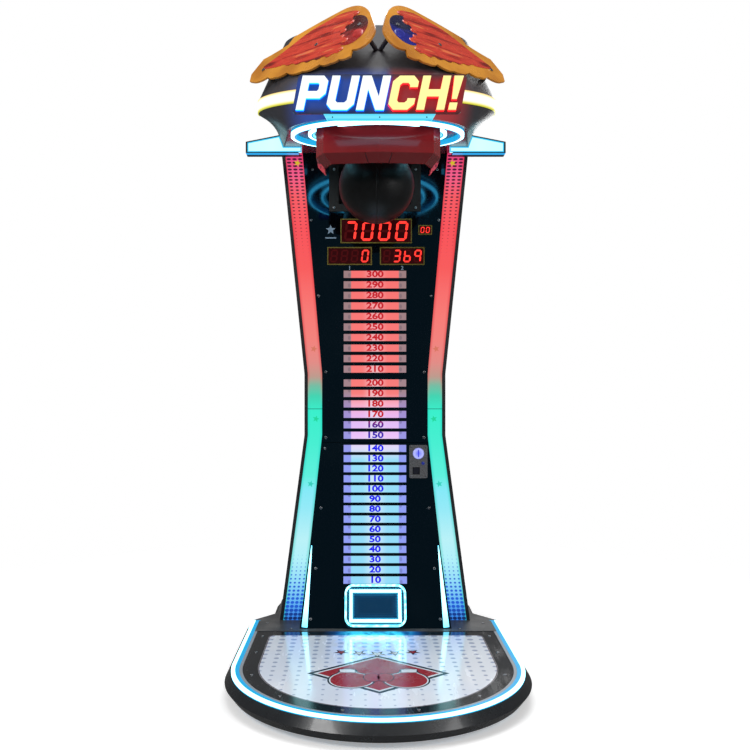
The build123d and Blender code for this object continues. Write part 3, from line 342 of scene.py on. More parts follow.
def moulded(name, colour, roughness=(0.3, 0.45), scale=700.0, coat=0.0):
    """Moulded plastic with a faint texture."""
    plastic = Finish(name, coat_weight=coat, coat_roughness=0.08)
    plastic.dusty(colour, tint("9a9790"), 0.12)
    plastic.smear(*roughness)
    return plastic.grained(scale, 0.6, 0.18).material


def lamp_colour(name, scale, first, second, strength, base="101010", roughness=0.3):
    """A lit plastic whose light wanders between two colours."""
    lamp = Finish(name, tint(base), roughness=roughness)
    return lamp.glow(lamp.mix(lamp.noise(scale), first, second), strength).material


def wear(node, material):
    """Gives a CAD node its finish."""
    slots = NODES[node].data.materials
    if len(slots) == 0:
        slots.append(material)
    for place in range(len(slots)):
        slots[place] = material


# ---- Mesh helpers ----
def add_piece(name, form, material, body, smooth=False, hides=()):
    """Turns a bmesh into an object that rides on a CAD body."""
    mesh = bpy.data.meshes.new(name)
    bmesh.ops.recalc_face_normals(form, faces=form.faces)
    form.to_mesh(mesh)
    form.free()
    mesh.materials.append(material)
    mesh.polygons.foreach_set("use_smooth", [smooth] * len(mesh.polygons))
    piece = bpy.data.objects.new(name, mesh)
    bpy.context.scene.collection.objects.link(piece)
    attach(piece, body)
    if hides:
        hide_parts(*hides)
    return piece


def add_plate(form, corners, thickness, lie):
    """A flat plate from corners in its own plane, thickened outwards and laid in place."""
    verts = [form.verts.new((x, y, 0)) for x, y in corners]
    face = form.faces.new(verts)
    raised = bmesh.ops.extrude_face_region(form, geom=[face])["geom"]
    top = [item for item in raised if isinstance(item, bmesh.types.BMVert)]
    bmesh.ops.translate(form, verts=top, vec=(0, 0, thickness))
    bmesh.ops.transform(form, matrix=lie, verts=verts + top)


def add_bead(form, radius, lie, segments=8, rings=5):
    """A small dome or bead."""
    bmesh.ops.create_uvsphere(form, u_segments=segments, v_segments=rings, radius=radius, matrix=lie)


def circle_corners(radius_x, radius_y, middle=(0, 0), count=40, start=0.0, sweep=math.tau):
    steps = count if sweep == math.tau else count - 1
    return [(middle[0] + radius_x * math.cos(start + sweep * i / steps),
             middle[1] + radius_y * math.sin(start + sweep * i / steps)) for i in range(count)]


def star_corners(radius, middle=(0, 0), turn=0.0):
    corners = []
    for point in range(10):
        reach = radius if point % 2 == 0 else radius * 0.42
        angle = math.radians(90 + 36 * point) + turn
        corners.append((middle[0] + reach * math.cos(angle), middle[1] + reach * math.sin(angle)))
    return corners


def grown(corners, by):
    """A polygon's corners, moved outwards along their own corner directions."""
    count = len(corners)
    area = sum(a[0] * b[1] - b[0] * a[1] for a, b in zip(corners, corners[1:] + corners[:1]))
    side = 1 if area > 0 else -1
    moved = []
    for place, corner in enumerate(corners):
        before, after = Vector(corners[place - 1]), Vector(corners[(place + 1) % count])
        here = Vector(corner)
        first, second = (here - before).normalized(), (after - here).normalized()
        out = Vector((first.y + second.y, -first.x - second.x)) * side
        reach = max(out.length / 2, 0.35)
        moved.append(tuple(here + out.normalized() * by / reach))
    return moved


def islands(node):
    """Lowest and highest corner of each loose solid of a CAD node."""
    form = bmesh.new()
    form.from_mesh(NODES[node].data)
    bmesh.ops.remove_doubles(form, verts=form.verts, dist=1e-6)
    boxes, seen = [], set()
    for start in form.verts:
        if start in seen:
            continue
        seen.add(start)
        stack, found = [start], []
        while stack:
            vert = stack.pop()
            found.append(vert.co.copy())
            for edge in vert.link_edges:
                other = edge.other_vert(vert)
                if other not in seen:
                    seen.add(other)
                    stack.append(other)
        low = Vector([min(co[axis] for co in found) for axis in range(3)])
        high = Vector([max(co[axis] for co in found) for axis in range(3)])
        boxes.append((low, high))
    form.free()
    return sorted(boxes, key=lambda box: (-box[0].z, box[0].x))


def front_face(node, toward, share=0.999):
    """The flat faces of a CAD node that look one way, joined to whole faces."""
    form = bmesh.new()
    form.from_mesh(NODES[node].data)
    bmesh.ops.remove_doubles(form, verts=form.verts, dist=1e-6)
    form.normal_update()
    away = [face for face in form.faces if face.normal.dot(toward) < share]
    bmesh.ops.delete(form, geom=away, context="FACES")
    bmesh.ops.dissolve_limit(form, angle_limit=math.radians(1), verts=form.verts, edges=form.edges)
    return form


def number_form(form, text, size, lie, weight=0.0, thickness=0.0001):
    """Adds a number to a bmesh, as a mesh made from a text curve."""
    curve = bpy.data.curves.new("number", "FONT")
    curve.body = text
    curve.size = size
    curve.align_x = "CENTER"
    curve.align_y = "CENTER"
    curve.offset = weight
    curve.extrude = thickness
    curve.resolution_u = 4
    holder = bpy.data.objects.new("number", curve)
    bpy.context.scene.collection.objects.link(holder)
    bpy.context.view_layer.update()
    mesh = bpy.data.meshes.new_from_object(holder.evaluated_get(bpy.context.evaluated_depsgraph_get()))
    mesh.transform(lie)
    form.from_mesh(mesh)
    bpy.data.objects.remove(holder)
    bpy.data.curves.remove(curve)
    bpy.data.meshes.remove(mesh)


# ---- Settings ----
class PunchLights(PropertyGroup):
    """Colours and strengths of the machine's own lights."""

    cyan: FloatVectorProperty(name="Cyan", description="Colour of the cyan edges of the lights",
                              subtype="COLOR", size=4, default=tint("08a8e4"), min=0, max=1)
    core: FloatVectorProperty(name="Core", description="Colour in the middle of the cyan lights",
                              subtype="COLOR", size=4, default=tint("a8f4ff"), min=0, max=1)
    ring_strength: FloatProperty(name="Ring strength", description="Light of the rings under the head",
                                 default=5.0, min=0)
    strip_strength: FloatProperty(name="Strip strength", description="Light of the two side strips",
                                  default=0.95, min=0)
    floor_strength: FloatProperty(name="Platform strength", description="Light of the platform's strip",
                                  default=4.0, min=0)
    window_strength: FloatProperty(name="Window strength", description="Light of the lamp window",
                                   default=7.0, min=0)
    bar_strength: FloatProperty(name="Bar strength", description="Light of the score column", default=0.95,
                                min=0)
    sign_strength: FloatProperty(name="Sign strength", description="Light of the letters' sides",
                                 default=3.0, min=0)
    digit_strength: FloatProperty(name="Digit strength", description="Light of the red digits", default=1.6,
                                  min=0)


class PunchFinishes(PropertyGroup):
    """Colours of the painted, moulded and printed parts."""

    cabinet: FloatVectorProperty(name="Cabinet", description="Powder coat of the cabinet", subtype="COLOR",
                                 size=4, default=tint("17181a"), min=0, max=1)
    cowl: FloatVectorProperty(name="Cowl", description="Moulded shell of the head", subtype="COLOR", size=4,
                              default=tint("2e3039"), min=0, max=1)
    visor: FloatVectorProperty(name="Visor", description="Deep red gloss of the visor", subtype="COLOR",
                               size=4, default=tint("8e1f22"), min=0, max=1)
    ball: FloatVectorProperty(name="Ball", description="Leather of the punch ball", subtype="COLOR", size=4,
                              default=tint("090a0b"), min=0, max=1)
    floor_print: FloatVectorProperty(name="Floor print", description="Ground colour of the platform's print",
                                     subtype="COLOR", size=4, default=tint("e0e9f8"), min=0, max=1)


class PunchSizes(PropertyGroup):
    """Sizes of the fine parts."""

    seam_width: FloatProperty(name="Seam width", description="Width of the ball's seams", default=0.0036,
                              unit="LENGTH", min=0.001)
    seam_depth: FloatProperty(name="Seam depth", description="Depth of the ball's seams", default=0.0015,
                              unit="LENGTH", min=0)
    stitch_pitch: FloatProperty(name="Stitch pitch", description="Distance from stitch to stitch",
                                default=0.0062, unit="LENGTH", min=0.002)
    bead_pitch: FloatProperty(name="Bead pitch", description="Distance between the small lamps",
                              default=0.0095, unit="LENGTH", min=0.004)
    number_size: FloatProperty(name="Number size", description="Height of the score column's numbers",
                               default=0.031, unit="LENGTH", min=0.005)
    digit_slant: FloatProperty(name="Digit slant", description="Slant of the display digits",
                               default=math.radians(7), subtype="ANGLE")


class PunchDisplay(PropertyGroup):
    """What the displays show."""

    high: StringProperty(name="High", description="Digits of the large display", default="7000")
    first: StringProperty(name="First", description="Digits of the left display", default="   0")
    second: StringProperty(name="Second", description="Digits of the right display", default=" 369")
    credit: StringProperty(name="Credit", description="Digits of the small display", default="00")
    step: IntProperty(name="Step", description="Score from one bar to the next", default=10, min=1)


class PunchStage(PropertyGroup):
    """Floor and studio light."""

    key: FloatProperty(name="Key", description="Power of the main soft light", default=95, min=0)
    fill: FloatProperty(name="Fill", description="Power of the softer light on the other side", default=60,
                        min=0)
    top: FloatProperty(name="Top", description="Power of the light overhead", default=70, min=0)
    floor_radius: FloatProperty(name="Floor radius", description="Size of the floor", default=7.0,
                                unit="LENGTH", min=2)


def window_middle():
    return BEND - LEAN_UP * WINDOW_DROP


def front_level(node, out, origin):
    """How far a CAD node reaches from a point along a direction."""
    return max((vert.co - origin).dot(out) for vert in NODES[node].data.vertices)


def lights():
    return bpy.context.scene.punch_lights


def finishes():
    return bpy.context.scene.punch_finishes


def sizes():
    return bpy.context.scene.punch_sizes


def lit_edge(name, bands_of, strength):
    """A lit diffuser that is burnt out where all the bands of one core meet, and cyan elsewhere."""
    lamp = Finish(name, tint("06181e"), roughness=0.35)
    mask = 0.0
    for bands in bands_of(lamp):
        core = 1.0
        for place, middle, reach in bands:
            band = lamp.group(GROUPS["core"], "Mask", place=place, middle=middle, reach=reach)
            core = lamp.math("MINIMUM", core, band)
        mask = lamp.math("MAXIMUM", mask, core)
    flicker = lamp.remap(lamp.noise(60.0, 1.0), 0.3, 0.7, 0.85, 1.0)
    edge = tuple(part / strength for part in lights().cyan[:3]) + (1,)
    burnt = lamp.mix(flicker, edge, lights().core)
    return lamp.glow(lamp.mix(mask, edge, burnt), strength).material


def on_arc(web):
    """Distance from the middle of the platform's round front, or from its long axis."""
    _, x, y, _ = web.spot()
    behind = web.math("MINIMUM", web.math("SUBTRACT", y, ARC_Y), 0.0)
    return web.length(x, behind)


def platform_bands(web):
    """One core over the strip's outer edge, within a radius and above a height."""
    return [[(on_arc(web), 0.446, 0.008), (web.spot()[3], 0.0780, 0.0045)]]


def ring_bands(web):
    """One core over each ring's lower outer edge, within a radius and below a height."""
    x = web.spot()[1]
    back = web.along(Vector((0, math.cos(RING_TILT), math.sin(RING_TILT))), RING_MIDDLE)
    height = web.along(Vector((0, -math.sin(RING_TILT), math.cos(RING_TILT))), RING_MIDDLE)
    radius = web.length(x, back)
    outer = web.math("GREATER_THAN", radius, RING_SPLIT)
    middle = web.remap(outer, 0.0, 1.0, -0.0065, -0.0115, "LINEAR")
    reach = web.remap(outer, 0.0, 1.0, 0.0045, 0.0065, "LINEAR")
    upright = (height, middle, reach)
    return [[(radius, 0.268, 0.0065), upright], [(radius, 0.214, 0.0060), upright]]


def sign_halo(web, far, near, depth):
    """Blue and red light that spills from the sign's letters onto what is round them."""
    _, x, y, z = web.spot()
    up = web.remap(web.math("ABSOLUTE", web.math("SUBTRACT", z, SIGN_MIDDLE)), far, near)
    side = web.remap(web.math("ABSOLUTE", x), 0.30, 0.20)
    front = web.remap(y, 0.0, -depth)
    hue = web.mix(web.remap(x, 0.015, 0.045), tint("0068ff"), tint("ff1420"))
    return web.mix(web.math("MULTIPLY", web.math("MULTIPLY", up, side), front), (0, 0, 0, 1), hue)


def window_bands(web):
    """One core along the middle line of the lamp window's frame."""
    side = web.math("SUBTRACT", web.math("ABSOLUTE", web.spot()[1]), WINDOW_LINE[0])
    up = web.math("SUBTRACT", web.math("ABSOLUTE", web.along(LEAN_UP, window_middle())), WINDOW_LINE[1])
    return [[(web.math("MAXIMUM", side, up), 0.0, 0.0052)]]


def hourglass_line(web, foot, waist, top):
    """Half width of one of the cabinet's slanted lines at each height."""
    z = web.spot()[3]
    low = web.remap(z, *SLANT_LEVELS[:2], foot, waist, "LINEAR")
    high = web.remap(z, *SLANT_LEVELS[2:], 0.0, top - waist, "LINEAR")
    return web.math("ADD", low, high)


# ---- Platform ----
FLOOR_DOT_PITCH = 0.040
FLOOR_BORDER = 0.047


def floor_print():
    ground = Finish("floor_print", specular_ior_level=0.5, coat_weight=0.8, coat_roughness=0.12)
    _, x, y, _ = ground.spot()
    edge = ground.math("SUBTRACT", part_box("floor_panel")[1].x, on_arc(ground))
    back = ground.math("SUBTRACT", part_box("floor_panel")[1].y, y)
    near = ground.math("SMOOTH_MIN", edge, back, 0.03)
    size = ground.remap(y, -0.56, 0.14, 0.30, 1.05, "LINEAR")
    dots = ground.group(GROUPS["dots"], "Mask", across=x, up=y, pitch_across=FLOOR_DOT_PITCH,
                        pitch_up=FLOOR_DOT_PITCH, size=size, width=0.27, height=0.27, softness=0.1)
    cloud = ground.mix(ground.remap(ground.noise(4.0, 3.0), 0.3, 0.7), finishes().floor_print, tint("eef3fb"))
    printed = ground.mix(ground.math("MULTIPLY", dots, 0.75), cloud, tint("8d9cbd"))
    border = ground.remap(near, FLOOR_BORDER + 0.0012, FLOOR_BORDER - 0.0012)
    line = ground.math("MULTIPLY", ground.remap(near, FLOOR_BORDER + 0.004, FLOOR_BORDER + 0.003),
                       ground.remap(near, FLOOR_BORDER, FLOOR_BORDER + 0.001))
    inside = ground.mix(line, printed, tint("5c4a52"))
    ground.set("Base Color", ground.mix(border, inside, tint("15181d")))
    # Painted light: a cyan pool glowing on the print in front of the lamp window, standing in for the window's
    # light and its reflection in the crinkled film.
    across = ground.remap(ground.math("ABSOLUTE", x), 0.19, 0.06)
    along = ground.math("POWER", ground.remap(y, -0.45, 0.17, kind="LINEAR"), 1.6)
    crinkle = ground.remap(ground.noise(26.0, 5.0, (1, 0.6, 1)), 0.35, 0.6, 0.5, 1.0)
    painted_light_pool = ground.math("MULTIPLY", ground.math("MULTIPLY", across, along), crinkle)
    hue = ground.mix(ground.remap(painted_light_pool, 0.2, 0.9), tint("0080ec"), tint("38d4ff"))
    ground.glow(ground.mix(painted_light_pool, (0, 0, 0, 1), hue), 1.35)
    scuffs = ground.noise(35.0, 6.0, (1, 0.2, 1))
    ground.set("Roughness", ground.remap(scuffs, 0.45, 0.75, 0.16, 0.34))
    return ground.bump(ground.noise(24.0, 4.0), 0.05, 0.0006).material


def emblem_finish(name, colour, low=0.2, high=0.32):
    ink = Finish(name)
    ink.set("Base Color", ink.mix(ink.noise(30.0, 4.0), colour, shaded(colour, 0.8)))
    ink.smear(low, high, 18.0)
    return ink.material


def glove_corners(side, shift=0.0):
    """Outline of a generic padded glove, seen from its back, cuff towards the cabinet."""
    middle = Vector((side * 0.062, -0.322))
    right = [(0.010, 0.095), (0.050, 0.097), (0.052, 0.062), (0.073, 0.040), (0.084, 0.006), (0.078, -0.030),
             (0.055, -0.056), (0.022, -0.064), (-0.012, -0.058), (-0.038, -0.036), (-0.047, -0.004),
             (-0.040, 0.026), (-0.020, 0.050), (0.006, 0.062)]
    corners = [(middle.x + side * x, middle.y + y + shift) for x, y in right]
    return corners if side > 0 else corners[::-1]


def rounded(corners, passes=2):
    """Cuts each corner of a polygon, again and again."""
    for _ in range(passes):
        following = corners[1:] + corners[:1]
        corners = [point for a, b in zip(corners, following)
                   for point in ((a[0] * 0.75 + b[0] * 0.25, a[1] * 0.75 + b[1] * 0.25),
                                 (a[0] * 0.25 + b[0] * 0.75, a[1] * 0.25 + b[1] * 0.75))]
    return corners


def emblem_layers():
    """The floor emblem: ink name, then the outlines it prints."""
    diamond = [(0.208, -0.262), (0, -0.097), (-0.208, -0.262), (0, -0.427)]
    gloves = [rounded(glove_corners(side)) for side in (-1, 1)]
    thumbs = [circle_corners(0.024, 0.036, (side * 0.020, -0.300), 24) for side in (-1, 1)]
    cuffs = [[(side * 0.071, -0.232), (side * 0.117, -0.230), (side * 0.115, -0.256), (side * 0.069, -0.258)]
             for side in (-1, 1)]
    cuffs = [cuff if side < 0 else cuff[::-1] for side, cuff in zip((-1, 1), cuffs)]
    stars = [star_corners(0.016 if place else 0.022, (place * 0.058, -0.078 + abs(place) * 0.010), math.pi)
             for place in (-2, -1, 0, 1, 2)]
    return [
        ("dark", [grown(diamond, 0.004)] + [grown(star, 0.004) for star in stars]),
        ("white", [grown(diamond, -0.008)] + stars[1:-1]),
        ("red", [grown(diamond, -0.016), stars[0], stars[-1]]),
        ("dark", [grown(glove, 0.007) for glove in gloves]),
        ("white", [grown(glove, 0.002) for glove in gloves]),
        ("red", [grown(glove, -0.002) for glove in gloves]),
        ("dark", [grown(thumb, 0.0025) for thumb in thumbs] + [grown(cuff, 0.002) for cuff in cuffs]),
        ("red", thumbs),
        ("white", cuffs),
    ]


class PUNCH_OT_platform(Operator):
    """Skirt, deck, printed floor, emblem and the lit strip round the platform"""

    bl_idname = "punch.platform"
    bl_label = "Platform"

    def execute(self, context):
        wear("base_skirt", moulded("skirt_black", tint("1b1d20"), (0.24, 0.4), 500.0, 0.35))
        wear("rear_deck", powder_coat("deck_coat", tint("3a3b3d"), 520.0, 0.8, 0.42, 0.55))
        wear("floor_trim", moulded("trim_grey", tint("8d949c"), (0.3, 0.42)))
        board = Finish("deck_ply", roughness=0.7)
        layers = board.math("FRACT", board.math("MULTIPLY", board.spot()[3], 700.0))
        board.set("Base Color", board.mix(board.remap(layers, 0.3, 0.6), tint("8a6a45"), tint("5d4228")))
        wear("deck_board", board.bump(board.noise(140.0, 5.0, (8, 1, 1)), 0.3).material)
        wear("base_frame", powder_coat("frame_coat", tint("1c1d1f")))
        rubber = Finish("foot_rubber", tint("161616"), roughness=0.8)
        wear("levelling_feet", rubber.grained(1400.0, 0.3, 0.5).material)
        wear("floor_panel", floor_print())
        wear("platform_light", lit_edge("platform_light", platform_bands, lights().floor_strength))
        inks = {
            "dark": emblem_finish("emblem_dark", tint("1a2333")),
            "white": emblem_finish("emblem_white", tint("dfe9f2")),
            "red": emblem_finish("emblem_red", tint("9e2127")),
        }
        step = 0.00012
        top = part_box("floor_panel")[1].z + 0.00002
        for ink, material in inks.items():
            form = bmesh.new()
            for level, (name, outlines) in enumerate(emblem_layers()):
                for corners in outlines if name == ink else []:
                    add_plate(form, corners, step, Matrix.Translation((0, 0, top + level * step)))
            add_piece("floor_emblem_" + ink, form, material, "machine")
        return {"FINISHED"}


# ---- Cabinet ----
STRIP_STOPS = [
    (0.080, "2a7ef0"), (0.150, "66bcfa"), (0.230, "96e2fd"), (0.300, "b4f6ff"), (0.375, "bdf7fd"),
    (0.493, "96effd"), (0.560, "86effd"), (0.610, "5ff6e2"), (0.729, "46f4d6"), (0.847, "36f5d0"),
    (0.906, "40d8b4"), (0.945, "78c0a6"), (0.975, "c09e90"), (1.030, "e88e88"), (1.110, "f8847e"),
    (1.200, "fd7d78"), (1.290, "fe6f6d"), (1.377, "fe5c5c"), (1.520, "fe5259"), (1.640, "fd5a63"),
    (1.720, "fb5f8c"), (1.800, "e84482"),
]
STRIP_TOP = 1.8
STAR_LEVELS = [(1.7635, "e0c030"), (1.079, "e07a64"), (0.821, "1ce0a4"), (0.5815, "36d8c4")]


def strip_light():
    strip = Finish("strip_light", tint("080808"), roughness=0.3, coat_weight=0.1, coat_roughness=0.05)
    _, x, _, z = strip.spot()
    half = strip.math("ABSOLUTE", x)
    colour = strip.ramp(strip.math("DIVIDE", z, STRIP_TOP), [(place / STRIP_TOP, tint(code))
                                                             for place, code in STRIP_STOPS])
    inner = hourglass_line(strip, 0.270, 0.195, 0.266)
    outer = hourglass_line(strip, 0.3375, 0.247, 0.3295)
    width = strip.math("SUBTRACT", outer, inner)
    share = strip.math("DIVIDE", strip.math("SUBTRACT", half, inner), width)
    lower = strip.remap(z, 1.0, 0.85)
    rim = strip.remap(strip.math("ABSOLUTE", strip.math("SUBTRACT", share, 0.5)), 0.30, 0.5)
    edge = strip.mix(lower, tint("e2303c"), tint("10d8c8"))
    colour = strip.mix(strip.math("MULTIPLY", rim, 0.5), colour, edge)
    top_size = strip.remap(z, 1.40, 1.74, 0.0, 1.15, "LINEAR")
    top_dots = strip.group(GROUPS["dots"], "Mask", across=strip.math("ADD", share, 0.165), up=z,
                           pitch_across=0.33, pitch_up=0.0127, size=top_size, width=0.34, height=0.27,
                           softness=0.25)
    colour = strip.mix(strip.math("MULTIPLY", top_dots, 0.93), colour, tint("2a0a24"))
    low_size = strip.remap(z, 0.345, 0.115, 0.0, 1.28, "LINEAR")
    low_dots = strip.group(GROUPS["dots"], "Mask", across=strip.math("ADD", share, 0.125), up=z,
                           pitch_across=0.25, pitch_up=0.0145, size=low_size, width=0.36, height=0.34,
                           softness=0.3)
    blue = strip.mix(strip.remap(z, 0.08, 0.14), tint("0a1a50"), tint("0f55d8"))
    colour = strip.mix(strip.math("MULTIPLY", low_dots, 0.95), colour, blue)
    seam = strip.remap(strip.math("ABSOLUTE", strip.math("SUBTRACT", z, 0.858)), 0.0012, 0.0006)
    colour = strip.mix(seam, colour, tint("08201c"))
    return strip.glow(colour, lights().strip_strength).material


def acrylic():
    panel = Finish("panel_acrylic", specular_ior_level=0.95, specular_tint=tint("64ccff"))
    swirls = panel.noise(3.0, 5.0)
    panel.set("Base Color", panel.mix(panel.remap(swirls, 0.5, 0.75), tint("030305"), tint("060709")))
    panel.smear(0.03, 0.09, 5.0)
    return panel.material


class PUNCH_OT_cabinet(Operator):
    """Steel sides and back, black acrylic front and its screws"""

    bl_idname = "punch.cabinet"
    bl_label = "Cabinet"

    def execute(self, context):
        shell = powder_coat("cabinet_coat", finishes().cabinet)
        for node in ("side_panel_left", "side_panel_right", "back_panel", "service_door"):
            wear(node, shell)
        wear("cabinet_frame", powder_coat("inner_frame_coat", tint("202124"), 800.0))
        panel = acrylic()
        wear("panel_upper", panel)
        wear("panel_lower", panel)
        wear("ball_opening_frame", powder_coat("opening_matt", tint("060607"), 700.0, 0.3, 0.55, 0.68))
        screws = bare_steel("screw_steel", tint("a9abb0"), (1, 1, 1), (0.25, 0.42))
        for node in ("panel_screws", "floor_screws", "head_brackets", "door_hinges"):
            wear(node, screws)
        # Painted shade: dark crosses on the screw heads stand in for the shade inside their recesses.
        dark = Finish("recess_shade", tint("141416"), roughness=0.55, metallic=0.6)
        form = bmesh.new()
        for node in ("panel_screws", "floor_screws"):
            for low, high in islands(node):
                self.add_recess(form, low, high)
        add_piece("recess_shade_crosses", form, dark.grained(900.0).material, "machine")
        return {"FINISHED"}

    def add_recess(self, form, low, high):
        """A dark cross of painted shade where a screw head's recess would be: up on the platform, outwards on the
        cabinet.
        """
        middle = (low + high) / 2
        if high.z < 0.083 and high.y < 0.30:
            lie = Matrix.Translation((middle.x, middle.y, high.z - 0.00055))
        elif high.y - low.y > 0.014 and high.z < 0.35:
            top = Vector((middle.x, low.y, high.z))
            lie = Matrix.Translation(top - LEAN_OUT * 0.00055 - Vector((0, 0, 0.0044))) @ LEAN_TURN
        else:
            lie = Matrix.Translation((middle.x, low.y + 0.00055, middle.z)) @ FACE_TURN
        for turn in (0, 90):
            slot = [(-0.0027, -0.0006), (0.0027, -0.0006), (0.0027, 0.0006), (-0.0027, 0.0006)]
            add_plate(form, slot, 0.0007, lie @ Matrix.Rotation(math.radians(45 + turn), 4, "Z"))


class PUNCH_OT_light_strips(Operator):
    """The two side strips, their halftone print and stars, and the slanted bars at their feet"""

    bl_idname = "punch.light_strips"
    bl_label = "Light strips"

    def execute(self, context):
        strip = strip_light()
        wear("light_strip_left", strip)
        wear("light_strip_right", strip)
        bar = Finish("wedge_light", tint("101010"), roughness=0.3)
        z = bar.spot()[3]
        fade = bar.ramp(bar.math("DIVIDE", z, 0.36), [(0.2, tint("50c8ec")), (0.4, tint("96e8ff")),
                                                      (0.9, tint("a0f0ff")), (1.0, tint("50c8ec"))])
        wear("wedge_lights", bar.glow(fade, 3.2).material)
        for level, (z, code) in enumerate(STAR_LEVELS):
            star = lamp_colour(f"star_ink_{level}", 90.0, tint(code), tint(code, 0.9), 0.95)
            form = bmesh.new()
            for side in (-1, 1):
                lie = Matrix.Translation((side * self.star_x(z), FRONT - 0.00005, z)) @ FACE_TURN
                add_plate(form, star_corners(0.0135, turn=side * 0.25), 0.00025, lie)
            add_piece(f"strip_star_{level}", form, star, "machine")
        return {"FINISHED"}

    def star_x(self, z):
        """Near the strip's inner edge at that height."""
        levels = list(zip(SLANT_LEVELS, (0.270, 0.195, 0.195, 0.266)))
        for (low, first), (high, second) in zip(levels, levels[1:]):
            if z <= high:
                return first + (second - first) * (z - low) / (high - low) + 0.022
        return levels[-1][1]


# ---- Score column and displays ----
SEGMENTS = {
    "0": "abcdef", "1": "bc", "2": "abged", "3": "abgcd", "4": "fgbc", "5": "afgcd", "6": "fgedc", "7": "abc",
    "8": "abcdefg", "9": "abfgc", " ": "",
}
ALL_SEGMENTS = "abcdefg"


def segment_corners(segment, width, height, stroke, gap):
    """One bar of a seven-bar digit, with pointed ends."""
    half = stroke / 2
    left, right, low, middle, high = half, width - half, half, height / 2, height - half
    lines = {
        "a": ((left, high), (right, high)), "g": ((left, middle), (right, middle)),
        "d": ((left, low), (right, low)), "f": ((left, middle), (left, high)),
        "b": ((right, middle), (right, high)), "e": ((left, low), (left, middle)),
        "c": ((right, low), (right, middle)),
    }
    (x0, y0), (x1, y1) = lines[segment]
    if y0 == y1:
        x0, x1 = x0 + gap, x1 - gap
        return [(x0, y0), (x0 + half, y0 - half), (x1 - half, y0 - half), (x1, y0), (x1 - half, y0 + half),
                (x0 + half, y0 + half)]
    y0, y1 = y0 + gap, y1 - gap
    return [(x0, y0), (x0 + half, y0 + half), (x0 + half, y1 - half), (x0, y1), (x0 - half, y1 - half),
            (x0 - half, y0 + half)]


class PUNCH_OT_score_column(Operator):
    """The lit bars of the score column and their numbers"""

    bl_idname = "punch.score_column"
    bl_label = "Score column"

    def execute(self, context):
        stops = [(0.22, "94e0ff"), (0.67, "9ce4ff"), (0.712, "e6e2ff"), (0.761, "f2c6ff"), (0.80, "e8c4ff"),
                 (0.838, "f2bcf2"), (0.876, "ffb0c8"), (0.915, "ff807e"), (1.366, "ff7674")]
        bars = Finish("meter_bars", tint("080808"), roughness=0.25, coat_weight=0.2)
        _, x, _, z = bars.spot()
        far = bars.math("ABSOLUTE", x)
        colour = bars.ramp(bars.math("DIVIDE", z, 1.4), [(place / 1.4, tint(code)) for place, code in stops])
        lower = bars.remap(z, 1.3, 0.7, 0.25, 0.6, "LINEAR")
        centre = bars.math("MULTIPLY", bars.remap(far, 0.050, 0.0), lower)
        colour = bars.mix(centre, colour, tint("f0f4ff"))
        end_colour = bars.ramp(bars.math("DIVIDE", z, 1.4), [(0.48, tint("94a2fa")), (0.60, tint("a694d8")),
                                                             (0.66, tint("a88890")), (0.96, tint("a08082"))])
        ends = bars.remap(far, 0.0860, 0.0895)
        arrows = bars.group(GROUPS["dots"], "Mask", across=bars.math("SUBTRACT", far, 0.0945), up=z,
                            pitch_across=0.05, pitch_up=0.0386, size=1.0, width=0.10, height=0.2,
                            softness=0.2)
        end_colour = bars.mix(bars.math("MULTIPLY", arrows, 0.35), end_colour, tint("40485c"))
        colour = bars.mix(ends, colour, end_colour)
        wear("meter_bars", bars.glow(colour, lights().bar_strength).material)
        numbers = Finish("meter_numbers", tint("101010"), roughness=0.35)
        z = numbers.spot()[3]
        ink = numbers.ramp(numbers.math("DIVIDE", z, 1.4), [(0.515, tint("0c06c8")), (0.545, tint("2a0490")),
                                                            (0.571, tint("4a0478")), (0.592, tint("a80818"))])
        numbers.set("Base Color", ink)
        numbers.glow(ink, 0.55)
        form = bmesh.new()
        found = islands("meter_bars")
        for place, (low, high) in enumerate(found):
            middle = (low + high) / 2
            score = (len(found) - place) * context.scene.punch_display.step
            if high.z < BEND.z:
                lie = Matrix.Translation(middle + LEAN_OUT * 0.00085) @ LEAN_TURN
            else:
                lie = Matrix.Translation((0, low.y - 0.00012, middle.z)) @ FACE_TURN
            number_form(form, str(score), sizes().number_size, lie @ Matrix.Scale(1.36, 4, (1, 0, 0)), 0.0011)
        add_piece("meter_numbers", form, numbers.material, "machine")
        return {"FINISHED"}


